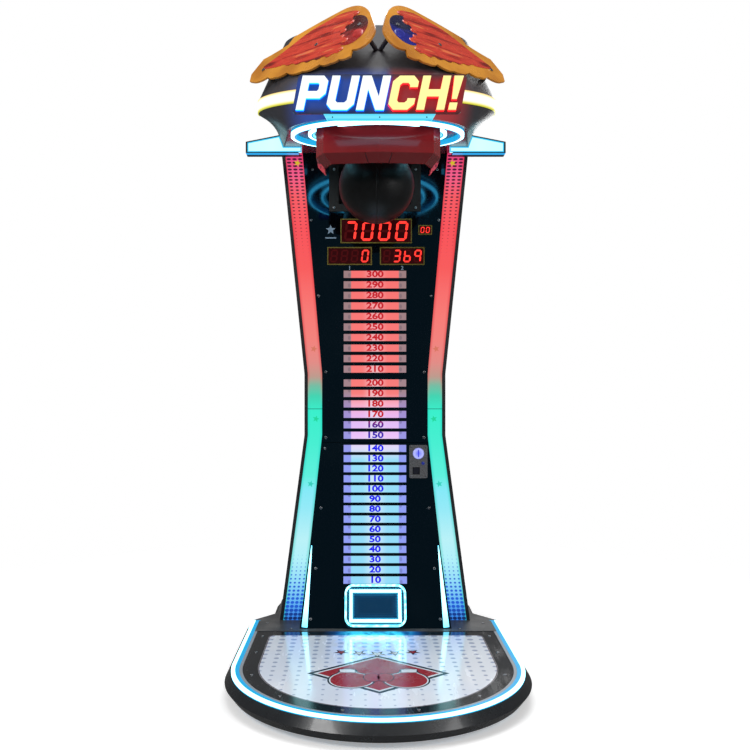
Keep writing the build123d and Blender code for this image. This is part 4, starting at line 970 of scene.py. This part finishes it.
class PUNCH_OT_displays(Operator):
    """The red displays: dark windows, gilt rims, lit digits and the bars that are off"""

    bl_idname = "punch.displays"
    bl_label = "Displays"

    def execute(self, context):
        glass = Finish("display_window", tint("120203"), specular_ior_level=0.25)
        glass.smear(0.12, 0.2, 20.0)
        # Painted light: the dark window glass glows faint red, though it is no lamp.
        wear("display_windows", glass.glow(tint("3a0408"), 0.5).material)
        gilt = Finish("display_rim", metallic=0.75)
        gilt.mottled(60.0, "6f6328", "8a7d3c", 3.0).smear(0.35, 0.5, 30.0)
        wear("display_bezels", gilt.grained(1500.0).material)
        lit = Finish("digits_lit", tint("300000"), roughness=0.4)
        lit.glow(lit.mix(lit.remap(lit.noise(300.0, 1.0), 0.35, 0.65), tint("ff2a22"), tint("ff3c30")),
                 lights().digit_strength)
        off = Finish("digits_off", tint("160304"), roughness=0.6, specular_ior_level=0.05)
        # Painted light: the unlit bars glow faint red, though they are off.
        off.glow(off.mix(off.noise(200.0), tint("48080b"), tint("520a0d")), 0.7)
        shows = context.scene.punch_display
        main, credit, first, second = self.windows()
        lit_form, off_form = bmesh.new(), bmesh.new()
        for box, text, height, pitch in (
            (main, shows.high, 0.0725, 0.0625), (first, shows.first, 0.0465, 0.038),
            (second, shows.second, 0.0465, 0.038), (credit, shows.credit, 0.022, 0.0195),
        ):
            self.write(lit_form, off_form, box, text, height, pitch)
        add_piece("display_digits", lit_form, lit.material, "machine")
        add_piece("display_digits_off", off_form, off.material, "machine")
        mark = Finish("display_marks", roughness=0.4).mottled(80.0, "64798c", "7e93a6")
        form = bmesh.new()
        for corners in (star_corners(0.019, (main[0].x - 0.040, main[0].z + 0.046)),
                        [(main[0].x - 0.060, main[0].z + 0.014), (main[0].x - 0.020, main[0].z + 0.014),
                         (main[0].x - 0.020, main[0].z + 0.0185), (main[0].x - 0.060, main[0].z + 0.0185)]):
            add_plate(form, corners, 0.0002, Matrix.Translation((0, FRONT + 0.0001, 0)) @ FACE_TURN)
        for box, text in ((first, "1"), (second, "2")):
            lie = Matrix.Translation(((box[0].x + box[1].x) / 2, FRONT, box[0].z - 0.0155)) @ FACE_TURN
            number_form(form, text, 0.020, lie, 0.0003)
        add_piece("display_marks", form, mark.material, "machine")
        return {"FINISHED"}

    def windows(self):
        """Main, credit, left and right window."""
        found = islands("display_windows")
        upper = sorted(found, key=lambda box: box[0].z)[2:]
        lower = sorted(found, key=lambda box: box[0].z)[:2]
        wide, small = sorted(upper, key=lambda box: box[0].x - box[1].x)
        left, right = sorted(lower, key=lambda box: box[0].x)
        return wide, small, left, right

    def write(self, lit_form, off_form, box, text, height, pitch):
        width = pitch * 0.70
        stroke = height * 0.125
        slant = math.tan(sizes().digit_slant)
        start = (box[0].x + box[1].x) / 2 - pitch * len(text) / 2 + (pitch - width - height * slant) / 2
        low = (box[0].z + box[1].z) / 2 - height / 2
        for place, letter in enumerate(text):
            for segment in ALL_SEGMENTS:
                corners = segment_corners(segment, width, height, stroke, stroke * 0.12)
                moved = [(start + place * pitch + x + y * slant, low + y) for x, y in corners]
                form = lit_form if segment in SEGMENTS[letter] else off_form
                add_plate(form, moved, 0.0002, Matrix.Translation((0, box[0].y + 0.00005, 0)) @ FACE_TURN)


class PUNCH_OT_lamp_window(Operator):
    """The lit window at the cabinet's foot: tube, lamp beads, deep blue mirror, painted reflections of the beads
    in it, and glass
    """

    bl_idname = "punch.lamp_window"
    bl_label = "Lamp window"

    def execute(self, context):
        tube = Finish("window_tube", tint("101010"), roughness=0.25)
        pulse = tube.remap(tube.noise(70.0), 0.35, 0.65)
        wear("window_neon", tube.glow(tube.mix(pulse, tint("58e4ff"), tint("a4f6ff")), 3.0).material)
        wear("window_leds", lit_edge("window_lamps", window_bands, lights().window_strength))
        tray = Finish("window_tray", metallic=0.2)
        depth = tray.along(LEAN_OUT, BEND)
        tray.set("Base Color", tray.mix(tray.remap(depth, -0.02, 0.0), tint("053a60"), tint("0a0f16")))
        tray.smear(0.08, 0.2, 30.0)
        # Painted light: the tray glows blue, standing in for the beads' light in the mirror.
        wear("window_tray", tray.glow(tint("0a4a74"), 0.5).material)
        pane = Finish("window_pane", tint("e4f9ff"), roughness=0.02, transmission_weight=1.0, ior=1.3)
        wear("window_glass", pane.bump(pane.noise(30.0), 0.02).material)
        lamp = lamp_colour("window_bead", 200.0, tint("20b4e8"), tint("6ce8ff"), 1.3)
        front = front_level("window_leds", LEAN_OUT, BEND)
        for place, inset in enumerate((-0.0058, 0.0058)):
            self.bead_frame(f"window_beads_{place}", lamp, inset, front - 0.004, 0.0036)
        # Painted reflections: three fainter, smaller bead frames deeper in stand in for the beads' images in the
        # mirror.
        floor = front_level("window_tray", LEAN_OUT, BEND) - 0.0235
        for place, (inset, code) in enumerate(((0.012, "1a8ac8"), (0.020, "0f5a90"), (0.027, "0a3c66"))):
            painted_reflection = lamp_colour(f"window_painted_reflection_{place}", 200.0, tint(code), tint(code, 0.7), 1.0, "04101a", 0.4)
            self.bead_frame(f"window_painted_reflection_{place}", painted_reflection, inset, floor, 0.0028 - place * 0.0006)
        return {"FINISHED"}

    def bead_frame(self, name, material, inset, level, radius):
        """Small glowing beads along a rectangle inside the lamp window: the lamps themselves, and deeper in their
        painted reflections.
        """
        half_width, half_height = WINDOW_LINE[0] - inset, WINDOW_LINE[1] - inset
        middle = window_middle() + LEAN_OUT * level
        across = round(2 * half_width / sizes().bead_pitch)
        up = round(2 * half_height / sizes().bead_pitch)
        points = [(-half_width + 2 * half_width * i / across, side * half_height)
                  for side in (-1, 1) for i in range(across + 1)]
        points += [(side * half_width, -half_height + 2 * half_height * i / up) for side in (-1, 1)
                   for i in range(1, up)]
        form = bmesh.new()
        for x, y in points:
            add_bead(form, radius, Matrix.Translation(middle) @ LEAN_TURN @ Matrix.Translation((x, y, 0)))
        add_piece(name, form, material, "machine", smooth=True)


# ---- Head ----
class PUNCH_OT_head(Operator):
    """Cowl, warm light band, rings, visor and side wings"""

    bl_idname = "punch.head"
    bl_label = "Head"

    def execute(self, context):
        shell = Finish("cowl_shell", coat_weight=0.15, coat_roughness=0.25)
        patches = shell.remap(shell.noise(3.0, 4.0), 0.35, 0.7)
        shade = shell.mix(patches, finishes().cowl, tint("383639"))
        shell.dusty(shade, tint("8d8a88"), 0.2)
        shell.smear(0.38, 0.5, 4.0)
        shell.grained(650.0, 0.5, 0.22)
        shell.glow(sign_halo(shell, 0.125, 0.05, 0.36), 0.3)
        for node in ("cowl_lower", "cowl_upper"):
            wear(node, shell.material)
        wear("cowl_band", self.warm_band())
        red_floor = Finish("head_floor_red", coat_weight=0.1, coat_roughness=0.1)
        wear("head_floor", red_floor.mottled(5.0, "5a0c12", "741018", 3.0).smear(0.22, 0.32).material)
        wear("ring_lights", lit_edge("ring_lights", ring_bands, lights().ring_strength))
        wear("visor", self.visor_gloss())
        wear("wing_housings", self.wing_black())
        wing = Finish("wing_light", tint("101010"), roughness=0.3)
        far = wing.math("ABSOLUTE", wing.spot()[1])
        cast = wing.ramp(far, [(0.30, tint("aef2ff")), (0.36, tint("c8faff")), (0.44, tint("b4f4ff"))])
        wear("wing_diffusers", wing.glow(wing.mix(wing.noise(18.0), cast, tint("c4f8ff")), 1.25).material)
        self.wing_edges()
        self.ring_beads()
        return {"FINISHED"}

    def warm_band(self):
        band = Finish("band_light", tint("101010"), roughness=0.3)
        _, _, y, z = band.spot()
        drop = band.math("MULTIPLY", band.math("SUBTRACT", y, 0.085), BAND_SLOPE)
        height = band.math("SUBTRACT", band.math("SUBTRACT", z, 1.863), drop)
        colour = band.ramp(band.math("DIVIDE", height, 0.042), [
            (0.0, tint("b8b818")), (0.10, tint("e8e070")), (0.24, tint("fffdf0")), (0.76, tint("fffdf2")),
            (0.90, tint("ffe9a0")), (1.0, tint("f0b030")),
        ])
        return band.glow(colour, 1.15).material

    def visor_gloss(self):
        """Deep red gloss outside, with painted shade: near black and dull on the faces that look inwards or back,
        and darker below the fold.
        """
        gloss = Finish("visor_gloss", coat_roughness=0.03)
        z = gloss.spot()[3]
        # Painted shade: the red goes darker below the fold.
        below = gloss.remap(z, 1.631, 1.627)
        cloud = gloss.mix(gloss.noise(4.0, 3.0), finishes().visor, tint("7e181c"))
        outside = gloss.mix(below, cloud, tint("5c1014"))
        # Painted shade: faces that look inwards or back go near black; the same mask also takes their gloss away.
        side = gloss.math("MULTIPLY", gloss.math("SIGN", gloss.spot()[1]), gloss.facing()[0])
        rearward = gloss.remap(gloss.facing()[1], 0.05, 0.3)
        inward = gloss.math("MAXIMUM", gloss.remap(side, -0.05, -0.3), rearward)
        gloss.set("Base Color", gloss.mix(inward, outside, tint("0a0506")))
        bare = gloss.math("MAXIMUM", inward, gloss.remap(z, 1.655, 1.685))
        gloss.set("Specular IOR Level", gloss.remap(bare, 0.0, 1.0, 0.4, 0.02, "LINEAR"))
        gloss.set("Coat Weight", gloss.remap(bare, 0.0, 1.0, 0.7, 0.0, "LINEAR"))
        shine = gloss.group(GROUPS["smudges"], "Roughness", scale=7.0, clean=0.14, smeared=0.26)
        gloss.set("Roughness", gloss.math("MAXIMUM", shine, gloss.math("MULTIPLY", inward, 0.8)))
        return gloss.bump(gloss.noise(12.0, 2.0), 0.03, 0.002).material

    def wing_black(self):
        """Black moulding whose underside catches the diffuser's light along its front."""
        shell = Finish("wing_black", roughness=0.3).mottled(30.0, "0c0d0f", "15171a")
        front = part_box("wing_housings")[0].y
        under = shell.math("LESS_THAN", shell.facing()[2], -0.9)
        near = shell.remap(shell.spot()[2], front + 0.028, front + 0.020)
        lit = shell.math("MULTIPLY", under, near)
        return shell.glow(shell.mix(lit, (0, 0, 0, 1), tint("18a8f0")), 1.0).material

    def wing_edges(self):
        """A brighter cyan line round each wing's diffuser."""
        edge = lamp_colour("wing_edge_light", 30.0, tint("18b4e8"), tint("40ccf4"), 1.1)
        form = front_face("wing_diffusers", Vector((0, -1, 0)), 0.9)
        rims = set(bmesh.ops.inset_region(form, faces=form.faces[:], thickness=0.0035, use_boundary=True,
                                          use_even_offset=True)["faces"])
        inner = [face for face in form.faces if face not in rims]
        bmesh.ops.delete(form, geom=inner, context="FACES")
        raised = bmesh.ops.extrude_face_region(form, geom=form.faces[:])["geom"]
        bmesh.ops.translate(form, verts=[v for v in raised if isinstance(v, bmesh.types.BMVert)],
                            vec=(0, -0.0003, 0))
        add_piece("wing_edges", form, edge, "machine")

    def ring_beads(self):
        """Lamp beads round the inside of the inner ring."""
        lamp = lamp_colour("ring_bead", 150.0, tint("59dcf8"), tint("a4f4ff"), 1.5)
        turn = Matrix.Translation(RING_MIDDLE) @ Matrix.Rotation(RING_TILT, 4, "X")
        radius = 0.2020
        count = round(math.tau * radius / sizes().bead_pitch)
        form = bmesh.new()
        for place in range(count):
            angle = math.tau * place / count
            x, y = radius * math.cos(angle), radius * math.sin(angle)
            if abs(x) < 0.136 and y > 0.1:
                continue
            add_bead(form, 0.0034, turn @ Matrix.Translation((x, y, -0.006)))
        add_piece("ring_beads", form, lamp, "machine", smooth=True)


class PUNCH_OT_sign(Operator):
    """The lit letters, their backing plate and the cyan lip below"""

    bl_idname = "punch.sign"
    bl_label = "Sign"

    def execute(self, context):
        plate = Finish("sign_plate", coat_weight=0.2)
        plate.mottled(6.0, "26272c", "303136", 3.0)
        plate.glow(sign_halo(plate, 0.062, 0.030, 0.3), 0.26)
        wear("sign_backplate", plate.smear(0.3, 0.42).grained(800.0).material)
        inks = (("blue", "f6ffff", "0458ff", "2a90ff"), ("red", "fff09c", "ff0c1c", "ff3818"))
        for ink, face, side, rim in inks:
            letter = self.letter("letters_" + ink, tint(face, 0.4), tint(side, 2.2), tint(rim, 1.2))
            wear("sign_letters_" + ink, letter)
        lip = Finish("sign_lip", tint("101010"), roughness=0.3)
        z = lip.spot()[3]
        height = lip.remap(z, 1.684, 1.702, kind="LINEAR")
        fade = lip.ramp(height, [(0.0, tint("38c4ea")), (0.5, tint("74e2fa")), (1.0, tint("4ed2f2"))])
        wear("sign_light_panel", lip.glow(fade, 1.1).material)
        form = bmesh.new()
        low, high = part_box("sign_light_panel")
        for x in (-0.132, 0.0, 0.132):
            lie = Matrix.Translation((x, low.y, (low.z + high.z) / 2)) @ FACE_TURN
            bmesh.ops.create_cone(form, cap_ends=True, segments=16, radius1=0.0026, radius2=0.0016,
                                  depth=0.0014, matrix=lie)
        # Painted light: the rivets' steel is tinted teal, standing in for the lip's cyan light on them.
        rivet = bare_steel("lip_rivet", tint("3f7f92"), (1, 1, 1))
        add_piece("lip_rivets", form, rivet, "machine")
        return {"FINISHED"}

    def letter(self, name, face, side, rim):
        """Bright on the front, coloured and spilling light on the sides."""
        sign = Finish(name, tint("101010"), roughness=0.3)
        front = sign.remap(sign.facing()[1], -0.5, -0.9)
        wash = sign.mix(sign.remap(sign.noise(22.0, 2.0), 0.3, 0.7), face, shaded(face, 0.94))
        depth = sign.remap(sign.spot()[2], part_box("sign_letters_blue")[0].y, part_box("sign_letters_blue")[1].y)
        flank = sign.mix(depth, rim, side)
        return sign.glow(sign.mix(front, flank, wash), lights().sign_strength).material


FOREARM = [
    (-58, 190), (-96, 198), (-128, 200), (-166, 186), (-214, 172), (-252, 150), (-298, 112), (-342, 80),
    (-392, 46), (-346, 36), (-302, 29), (-284, 34), (-262, 18), (-240, 24), (-222, 9), (-196, 16),
    (-176, 3), (-154, 12), (-132, 0), (-112, 12), (-92, -4), (-74, 10), (-52, 2), (-44, 24), (-64, 40),
    (-40, 56), (-62, 78), (-90, 92), (-62, 106), (-80, 124), (-46, 140), (-66, 160), (-42, 176),
]
KNUCKLES = [(-52, 18, 12), (-50, 56, 13), (-72, 80, 11), (-76, 106, 12), (-60, 138, 13), (-54, 174, 12)]


class PUNCH_OT_glove_boards(Operator):
    """The two printed boards on the head: gilt ground, a forearm in flame colours and a padded glove"""

    bl_idname = "punch.glove_boards"
    bl_label = "Glove boards"

    def execute(self, context):
        ground = Finish("board_ground", coat_weight=0.4, coat_roughness=0.06)
        rough = ground.remap(ground.noise(9.0, 5.0), 0.3, 0.7)
        ground.set("Base Color", ground.mix(rough, tint("cc8a2c"), tint("a8681c")))
        ground.smear(0.16, 0.3, 12.0)
        arm, knuckle = self.flame("forearm_flame", 1.0), self.flame("forearm_knuckles", 1.9)
        for side, colour in (("left", tint("8c1410")), ("right", tint("141a78"))):
            wear("glove_board_" + side, ground.material)
            flip = Matrix.Scale(-1 if side == "right" else 1, 4, (1, 0, 0))
            lie = flip @ self.board_place()
            form = bmesh.new()
            add_plate(form, [(x * MM, y * MM) for x, y in rounded(FOREARM, 1)], 0.0010, lie)
            add_piece("forearm_" + side, form, arm, "machine")
            form = bmesh.new()
            for x, y, radius in KNUCKLES:
                spot = lie @ Matrix.Translation((x * MM, y * MM, 0.0008))
                size = Matrix.Diagonal((radius * MM, radius * MM * 0.8, 0.0016, 1))
                add_bead(form, 1.0, spot @ size, 24, 8)
            add_piece("forearm_knuckles_" + side, form, knuckle, "machine", smooth=True)
            self.glove(side, colour, lie)
        return {"FINISHED"}

    def board_place(self):
        """Turns a flat shape onto the front of the left board."""
        turn = Matrix((BOARD_ACROSS, BOARD_UP, BOARD_OUT)).transposed().to_4x4()
        level = front_level("glove_board_left", BOARD_OUT, BOARD_ORIGIN)
        return Matrix.Translation(BOARD_ORIGIN + BOARD_OUT * level) @ turn

    def flame(self, name, spread):
        """Streaks of flame colours that run along the forearm."""
        arm = Finish(name, coat_weight=0.4, coat_roughness=0.06)
        vector = arm.add("VectorMath", operation="ABSOLUTE")
        arm.feed(vector.inputs[0], arm.spot()[0])
        streaks = arm.noise(13.0 * spread, 7.0, (0.55, 0.5, 5.5), vector.outputs["Vector"])
        colour = arm.ramp(streaks, [(0.28, tint("4a0e0c")), (0.40, tint("96241a")), (0.50, tint("c43c2a")),
                                    (0.58, tint("ae3222")), (0.66, tint("d66a3c")), (0.78, tint("8a6a62"))])
        cores = arm.remap(arm.cells(80.0 / spread), 0.2, 0.08)
        flecks = arm.math("MULTIPLY", cores, 0.45 * spread, clamp=True)
        arm.set("Base Color", arm.mix(flecks, colour, tint("cf7a48")))
        return arm.smear(0.18, 0.3, 14.0).bump(streaks, 0.25, 0.0008).material

    def glove(self, side, colour, lie):
        """The printed glove, shaded from a dark cuff to a bright fist, with its thumb."""
        skin = Finish("board_glove_" + side, coat_weight=0.4, coat_roughness=0.06)
        deep = shaded(colour, 0.18)
        folds = skin.noise(26.0, 4.0, (1.0, 1.0, 2.6))
        height = skin.remap(skin.spot()[3], 2.035, 1.945, 0.0, 1.0)
        share = skin.math("MULTIPLY_ADD", folds, 0.9, skin.math("SUBTRACT", height, 0.55))
        skin.set("Base Color", skin.mix(skin.remap(share, 0.15, 0.75), deep, colour))
        skin.smear(0.2, 0.34, 18.0).grained(500.0, 0.4, 0.3)
        form = bmesh.new()
        turn = Matrix.Translation((-0.042, 0.097, 0)) @ Matrix.Rotation(math.radians(-53), 4, "Z")
        add_plate(form, circle_corners(0.072, 0.057, count=64), 0.0005, lie @ turn)
        add_piece("board_glove_" + side, form, skin.material, "machine")
        thumb = Finish("board_thumb_" + side, coat_weight=0.4, coat_roughness=0.06)
        bright = tuple(min(1.0, part * 1.7 + 0.02) for part in colour[:3]) + (1,)
        thumb.set("Base Color", thumb.mix(thumb.remap(thumb.noise(40.0, 3.0), 0.35, 0.7), colour, bright))
        form = bmesh.new()
        place = lie @ Matrix.Translation((-0.008, 0.072, 0.0003)) @ Matrix.Rotation(math.radians(-40), 4, "Z")
        add_bead(form, 1.0, place @ Matrix.Diagonal((0.026, 0.017, 0.0014, 1)), 32, 12)
        add_piece("board_thumb_" + side, form, thumb.smear(0.2, 0.3).material, "machine",
                  smooth=True)


# ---- Ball and swing ----
class PUNCH_OT_ball(Operator):
    """The stitched leather ball that hangs from the swing arm"""

    bl_idname = "punch.ball"
    bl_label = "Punch ball"

    def execute(self, context):
        low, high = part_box("punch_ball")
        radius = (high.x - low.x) / 2
        middle = Vector(((low.x + high.x) / 2, (low.y + high.y) / 2, low.z + radius))
        form = bmesh.new()
        bmesh.ops.create_uvsphere(form, u_segments=96, v_segments=64, radius=radius - 0.0002)
        half = sizes().seam_width / 2
        for normal in ((1, 0, 0), (0, 1, 0)):
            for offset in (-3 * half, -half, 0.0, half, 3 * half):
                bmesh.ops.bisect_plane(form, geom=form.verts[:] + form.edges[:] + form.faces[:], dist=1e-6,
                                       plane_co=Vector(normal) * offset, plane_no=normal)
        bmesh.ops.remove_doubles(form, verts=form.verts, dist=0.0001)
        for vert in form.verts:
            nearest = min(abs(vert.co.x), abs(vert.co.y))
            sunk = max(0.0, 1 - nearest / half) * sizes().seam_depth
            vert.co -= vert.co.normalized() * sunk
            vert.co.z = min(vert.co.z, high.z - middle.z)
        bmesh.ops.transform(form, matrix=Matrix.Translation(middle), verts=form.verts)
        ball = add_piece("punch_ball_cover", form, self.leather(), "ball_swing", True,
                         ("punch_ball",))
        self.stitches(middle, radius, high.z)
        return {"FINISHED"}

    def leather(self):
        hide = Finish("ball_leather", coat_weight=0.1, coat_roughness=0.3, specular_ior_level=0.4)
        pores = hide.cells(420.0)
        folds = hide.noise(38.0, 6.0)
        hide.set("Base Color", hide.mix(hide.remap(folds, 0.35, 0.7), finishes().ball, tint("0f1012")))
        hide.smear(0.36, 0.5, 9.0)
        height = hide.math("MULTIPLY_ADD", hide.noise(160.0, 4.0), 0.6, pores)
        return hide.bump(height, 0.35, 0.0005).material

    def stitches(self, middle, radius, top):
        """Thread on both sides of the seams."""
        thread = Finish("ball_thread", roughness=0.6).mottled(900.0, "2c2e33", "1e2024")
        count = round(math.tau * radius / sizes().stitch_pitch)
        form = bmesh.new()
        for across in (Vector((1, 0, 0)), Vector((0, 1, 0))):
            along = Vector((0, 0, 1)).cross(across)
            for side in (-1, 1):
                for place in range(count):
                    angle = math.tau * (place + 0.5 * (side > 0)) / count
                    out = along * math.cos(angle) + Vector((0, 0, 1)) * math.sin(angle)
                    beside = across * side * sizes().seam_width * 0.95
                    spot = middle + (out * radius + beside).normalized() * radius
                    if spot.z > top - 0.004:
                        continue
                    run = out.cross(across)
                    turn = Matrix((run, across, out)).transposed().to_4x4()
                    size = Matrix.Diagonal((0.0019, 0.00055, 0.0005, 1))
                    lie = Matrix.Translation(spot - out * 0.0003) @ turn @ size
                    add_bead(form, 1.0, lie, 6, 4)
        add_piece("ball_stitches", form, thread.material, "ball_swing", smooth=True)


class PUNCH_OT_swing(Operator):
    """Shaft, bearings, hub, arm and rubber stops"""

    bl_idname = "punch.swing"
    bl_label = "Swing arm"

    def execute(self, context):
        ground = bare_steel("shaft_steel", tint("9c9ea2"), (8, 0.3, 8), (0.18, 0.32))
        wear("pivot_shaft", ground)
        wear("ball_arm", bare_steel("arm_steel", tint("8e9095"), (0.4, 0.4, 6), (0.25, 0.4)))
        iron = Finish("bearing_iron", metallic=0.3)
        iron.dusty(iron.mix(iron.noise(40.0, 4.0), tint("2f3a42"), tint("3c4852")), tint("807c74"), 0.3)
        wear("pillow_bearings", iron.smear(0.4, 0.6).grained(420.0, 0.6, 0.7).material)
        wear("arm_hub", powder_coat("hub_coat", tint("1d1e20"), 900.0))
        rubber = Finish("stop_rubber", roughness=0.85).mottled(90.0, "141414", "222120", 4.0)
        wear("stop_bumpers", rubber.grained(1200.0, 0.3, 0.5).material)
        return {"FINISHED"}


# ---- Small parts ----
class PUNCH_OT_coin_unit(Operator):
    """Coin plate, lit coin entry, reject button, return cup and its flap"""

    bl_idname = "punch.coin_unit"
    bl_label = "Coin unit"

    def execute(self, context):
        brushed = bare_steel("coin_steel", tint("d8dae0"), (0.25, 1, 9), (0.16, 0.34))
        wear("coin_plate", brushed)
        wear("return_flap", moulded("flap_black", tint("101320"), (0.2, 0.35), 900.0, 0.3))
        low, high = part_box("coin_entry")
        middle = (low + high) / 2
        lens = Finish("coin_lens", tint("b8bff5"), roughness=0.12, coat_weight=0.6)
        near = lens.length(lens.math("SUBTRACT", lens.spot()[1], middle.x),
                           lens.math("SUBTRACT", lens.spot()[3], middle.z))
        fade = lens.ramp(lens.math("DIVIDE", near, 0.021), [(0.0, tint("5a62f0")), (0.45, tint("8e94ee")),
                                                            (0.8, tint("a8acf0")), (1.0, tint("6a6ea8"))])
        lens.set("Base Color", fade)
        wear("coin_entry", lens.glow(fade, 0.3).material)
        wear("reject_button", moulded("button_blue", tint("1b2a86"), (0.18, 0.3), 800.0, 0.4))
        wear("return_cup", moulded("cup_black", tint("0e0f12")))
        form = bmesh.new()
        slot = rounded([(-0.0016, -0.013), (0.0016, -0.013), (0.0016, 0.013), (-0.0016, 0.013)], 2)
        lie = Matrix.Translation((middle.x, low.y + 0.0001, middle.z)) @ FACE_TURN
        add_plate(form, slot, 0.0002, lie)
        blue = lamp_colour("coin_slot_light", 200.0, tint("2026d8"), tint("3438ff"), 0.9, "101040", 0.4)
        add_piece("coin_slot_mark", form, blue, "machine")
        plate_low, plate_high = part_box("coin_plate")
        form = bmesh.new()
        for x in (plate_low.x + 0.007, plate_high.x - 0.007):
            for z in (plate_low.z + 0.007, plate_high.z - 0.007):
                place = Matrix.Translation((x, plate_low.y + 0.0010, z)) @ FACE_TURN
                add_bead(form, 1.0, place @ Matrix.Diagonal((0.0032, 0.0032, 0.0014, 1)), 16, 8)
        add_piece("coin_plate_rivets", form, bare_steel("rivet_steel", tint("7c7e84"), (1, 1, 1)), "machine",
                  smooth=True)
        return {"FINISHED"}


class PUNCH_OT_rear_fittings(Operator):
    """Door lock, mains inlet and rocker switch"""

    bl_idname = "punch.rear_fittings"
    bl_label = "Rear fittings"

    def execute(self, context):
        chrome = Finish("lock_chrome", tint("d8dade"), metallic=1.0)
        wear("door_lock", chrome.smear(0.08, 0.22, 60.0).bump(chrome.noise(400.0), 0.05).material)
        wear("power_inlet", moulded("inlet_black", tint("121315"), (0.35, 0.5)))
        wear("rocker_switch", moulded("rocker_black", tint("0b0b0d"), (0.15, 0.28), 900.0, 0.4))
        return {"FINISHED"}


# ---- Stage ----
class PUNCH_OT_stage(Operator):
    """Pale floor, soft lights, white surroundings and the camera"""

    bl_idname = "punch.stage"
    bl_label = "Stage"

    def execute(self, context):
        settings = context.scene.punch_stage
        self.floor(settings.floor_radius)
        self.surroundings(context.scene)
        target = Vector((0, 0, 1.0))
        for name, place, width, power in (
            ("key", (-2.7, -3.0, 3.3), 1.6, settings.key), ("fill", (3.0, -2.6, 2.4), 2.0, settings.fill),
            ("top", (0.0, -0.6, 4.4), 2.6, settings.top), ("back", (0.6, 3.6, 3.2), 2.2, settings.fill),
        ):
            self.soft_light(name, Vector(place), target, width, power)
        view = bpy.data.cameras.new("camera")
        view.lens = 40.8
        view.sensor_width = 36.0
        view.shift_x = 0.02
        view.shift_y = 0.0173
        camera = bpy.data.objects.new("camera", view)
        camera.location = (-0.055, -2.815, 0.935)
        camera.rotation_euler = (math.radians(90), 0, 0)
        context.scene.collection.objects.link(camera)
        context.scene.camera = camera
        context.scene.view_settings.view_transform = "Standard"
        return {"FINISHED"}

    def floor(self, radius):
        form = bmesh.new()
        bmesh.ops.create_circle(form, cap_ends=True, segments=96, radius=radius)
        mesh = bpy.data.meshes.new("floor")
        form.to_mesh(mesh)
        form.free()
        pale = Finish("floor_pale", roughness=0.4, specular_ior_level=0.15)
        pale.glow((1, 1, 1, 1), 0.3)
        pale.mottled(2.0, "f4f4f4", "f8f8f8")
        fade = pale.remap(pale.length(*pale.spot()[1:3]), 1.0, 2.6, 1.0, 0.0)
        mirrored = pale.add("LightPath").outputs["Is Glossy Ray"]
        pale.set("Alpha", pale.math("MULTIPLY", fade, pale.remap(mirrored, 0.0, 1.0, 1.0, 0.0, "LINEAR")))
        mesh.materials.append(pale.material)
        floor = bpy.data.objects.new("floor", mesh)
        bpy.context.scene.collection.objects.link(floor)

    def surroundings(self, scene):
        """White to look at, dimmer as a source of light, so that the black panel stays black."""
        world = bpy.data.worlds.new("studio")
        scene.world = world
        world.use_nodes = True
        web = Web(world.node_tree)
        ground = world.node_tree.nodes["Background"]
        ray = web.add("LightPath").outputs
        cast = web.remap(ray["Is Glossy Ray"], 0.0, 1.0, 0.42, 0.10, "LINEAR")
        web.feed(ground.inputs["Strength"], web.math("MAXIMUM", ray["Is Camera Ray"], cast))
        ground.inputs["Color"].default_value = (1, 1, 1, 1)

    def soft_light(self, name, place, target, width, power):
        lamp = bpy.data.lights.new(name, "AREA")
        lamp.shape = "RECTANGLE"
        lamp.size = lamp.size_y = width
        lamp.energy = power
        holder = bpy.data.objects.new(name, lamp)
        holder.location = place
        holder.rotation_euler = (target - place).to_track_quat("-Z", "Y").to_euler()
        bpy.context.scene.collection.objects.link(holder)


STEPS = (
    PUNCH_OT_stage, PUNCH_OT_platform, PUNCH_OT_cabinet, PUNCH_OT_light_strips, PUNCH_OT_score_column,
    PUNCH_OT_displays, PUNCH_OT_lamp_window, PUNCH_OT_head, PUNCH_OT_sign, PUNCH_OT_glove_boards,
    PUNCH_OT_ball, PUNCH_OT_swing, PUNCH_OT_coin_unit, PUNCH_OT_rear_fittings,
)
SETTINGS = {
    "punch_lights": PunchLights,
    "punch_finishes": PunchFinishes,
    "punch_sizes": PunchSizes,
    "punch_display": PunchDisplay,
    "punch_stage": PunchStage,
}


class PUNCH_PT_sidebar(Panel):
    """Settings and steps of the boxing punch machine"""

    bl_idname = "PUNCH_PT_sidebar"
    bl_label = "Punch machine"
    bl_space_type = "VIEW_3D"
    bl_region_type = "UI"
    bl_category = "Punch machine"

    def draw(self, context):
        for name in SETTINGS:
            box = self.layout.box()
            group = getattr(context.scene, name)
            for key in group.bl_rna.properties.keys():
                if key not in {"rna_type", "name"}:
                    box.prop(group, key)
        for step in STEPS:
            self.layout.operator(step.bl_idname)


def register():
    for kind in (*SETTINGS.values(), *STEPS, PUNCH_PT_sidebar):
        bpy.utils.register_class(kind)
    for name, kind in SETTINGS.items():
        setattr(bpy.types.Scene, name, PointerProperty(type=kind))


def unregister():
    for name in SETTINGS:
        delattr(bpy.types.Scene, name)
    for kind in (PUNCH_PT_sidebar, *reversed(STEPS), *reversed(SETTINGS.values())):
        bpy.utils.unregister_class(kind)


def write_sizes():
    """Brings the view layer up to date."""
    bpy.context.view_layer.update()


def main():
    register()
    for step in STEPS:
        family, name = step.bl_idname.split(".")
        getattr(getattr(bpy.ops, family), name)()
    write_sizes()


if __name__ == "__main__":
    main()
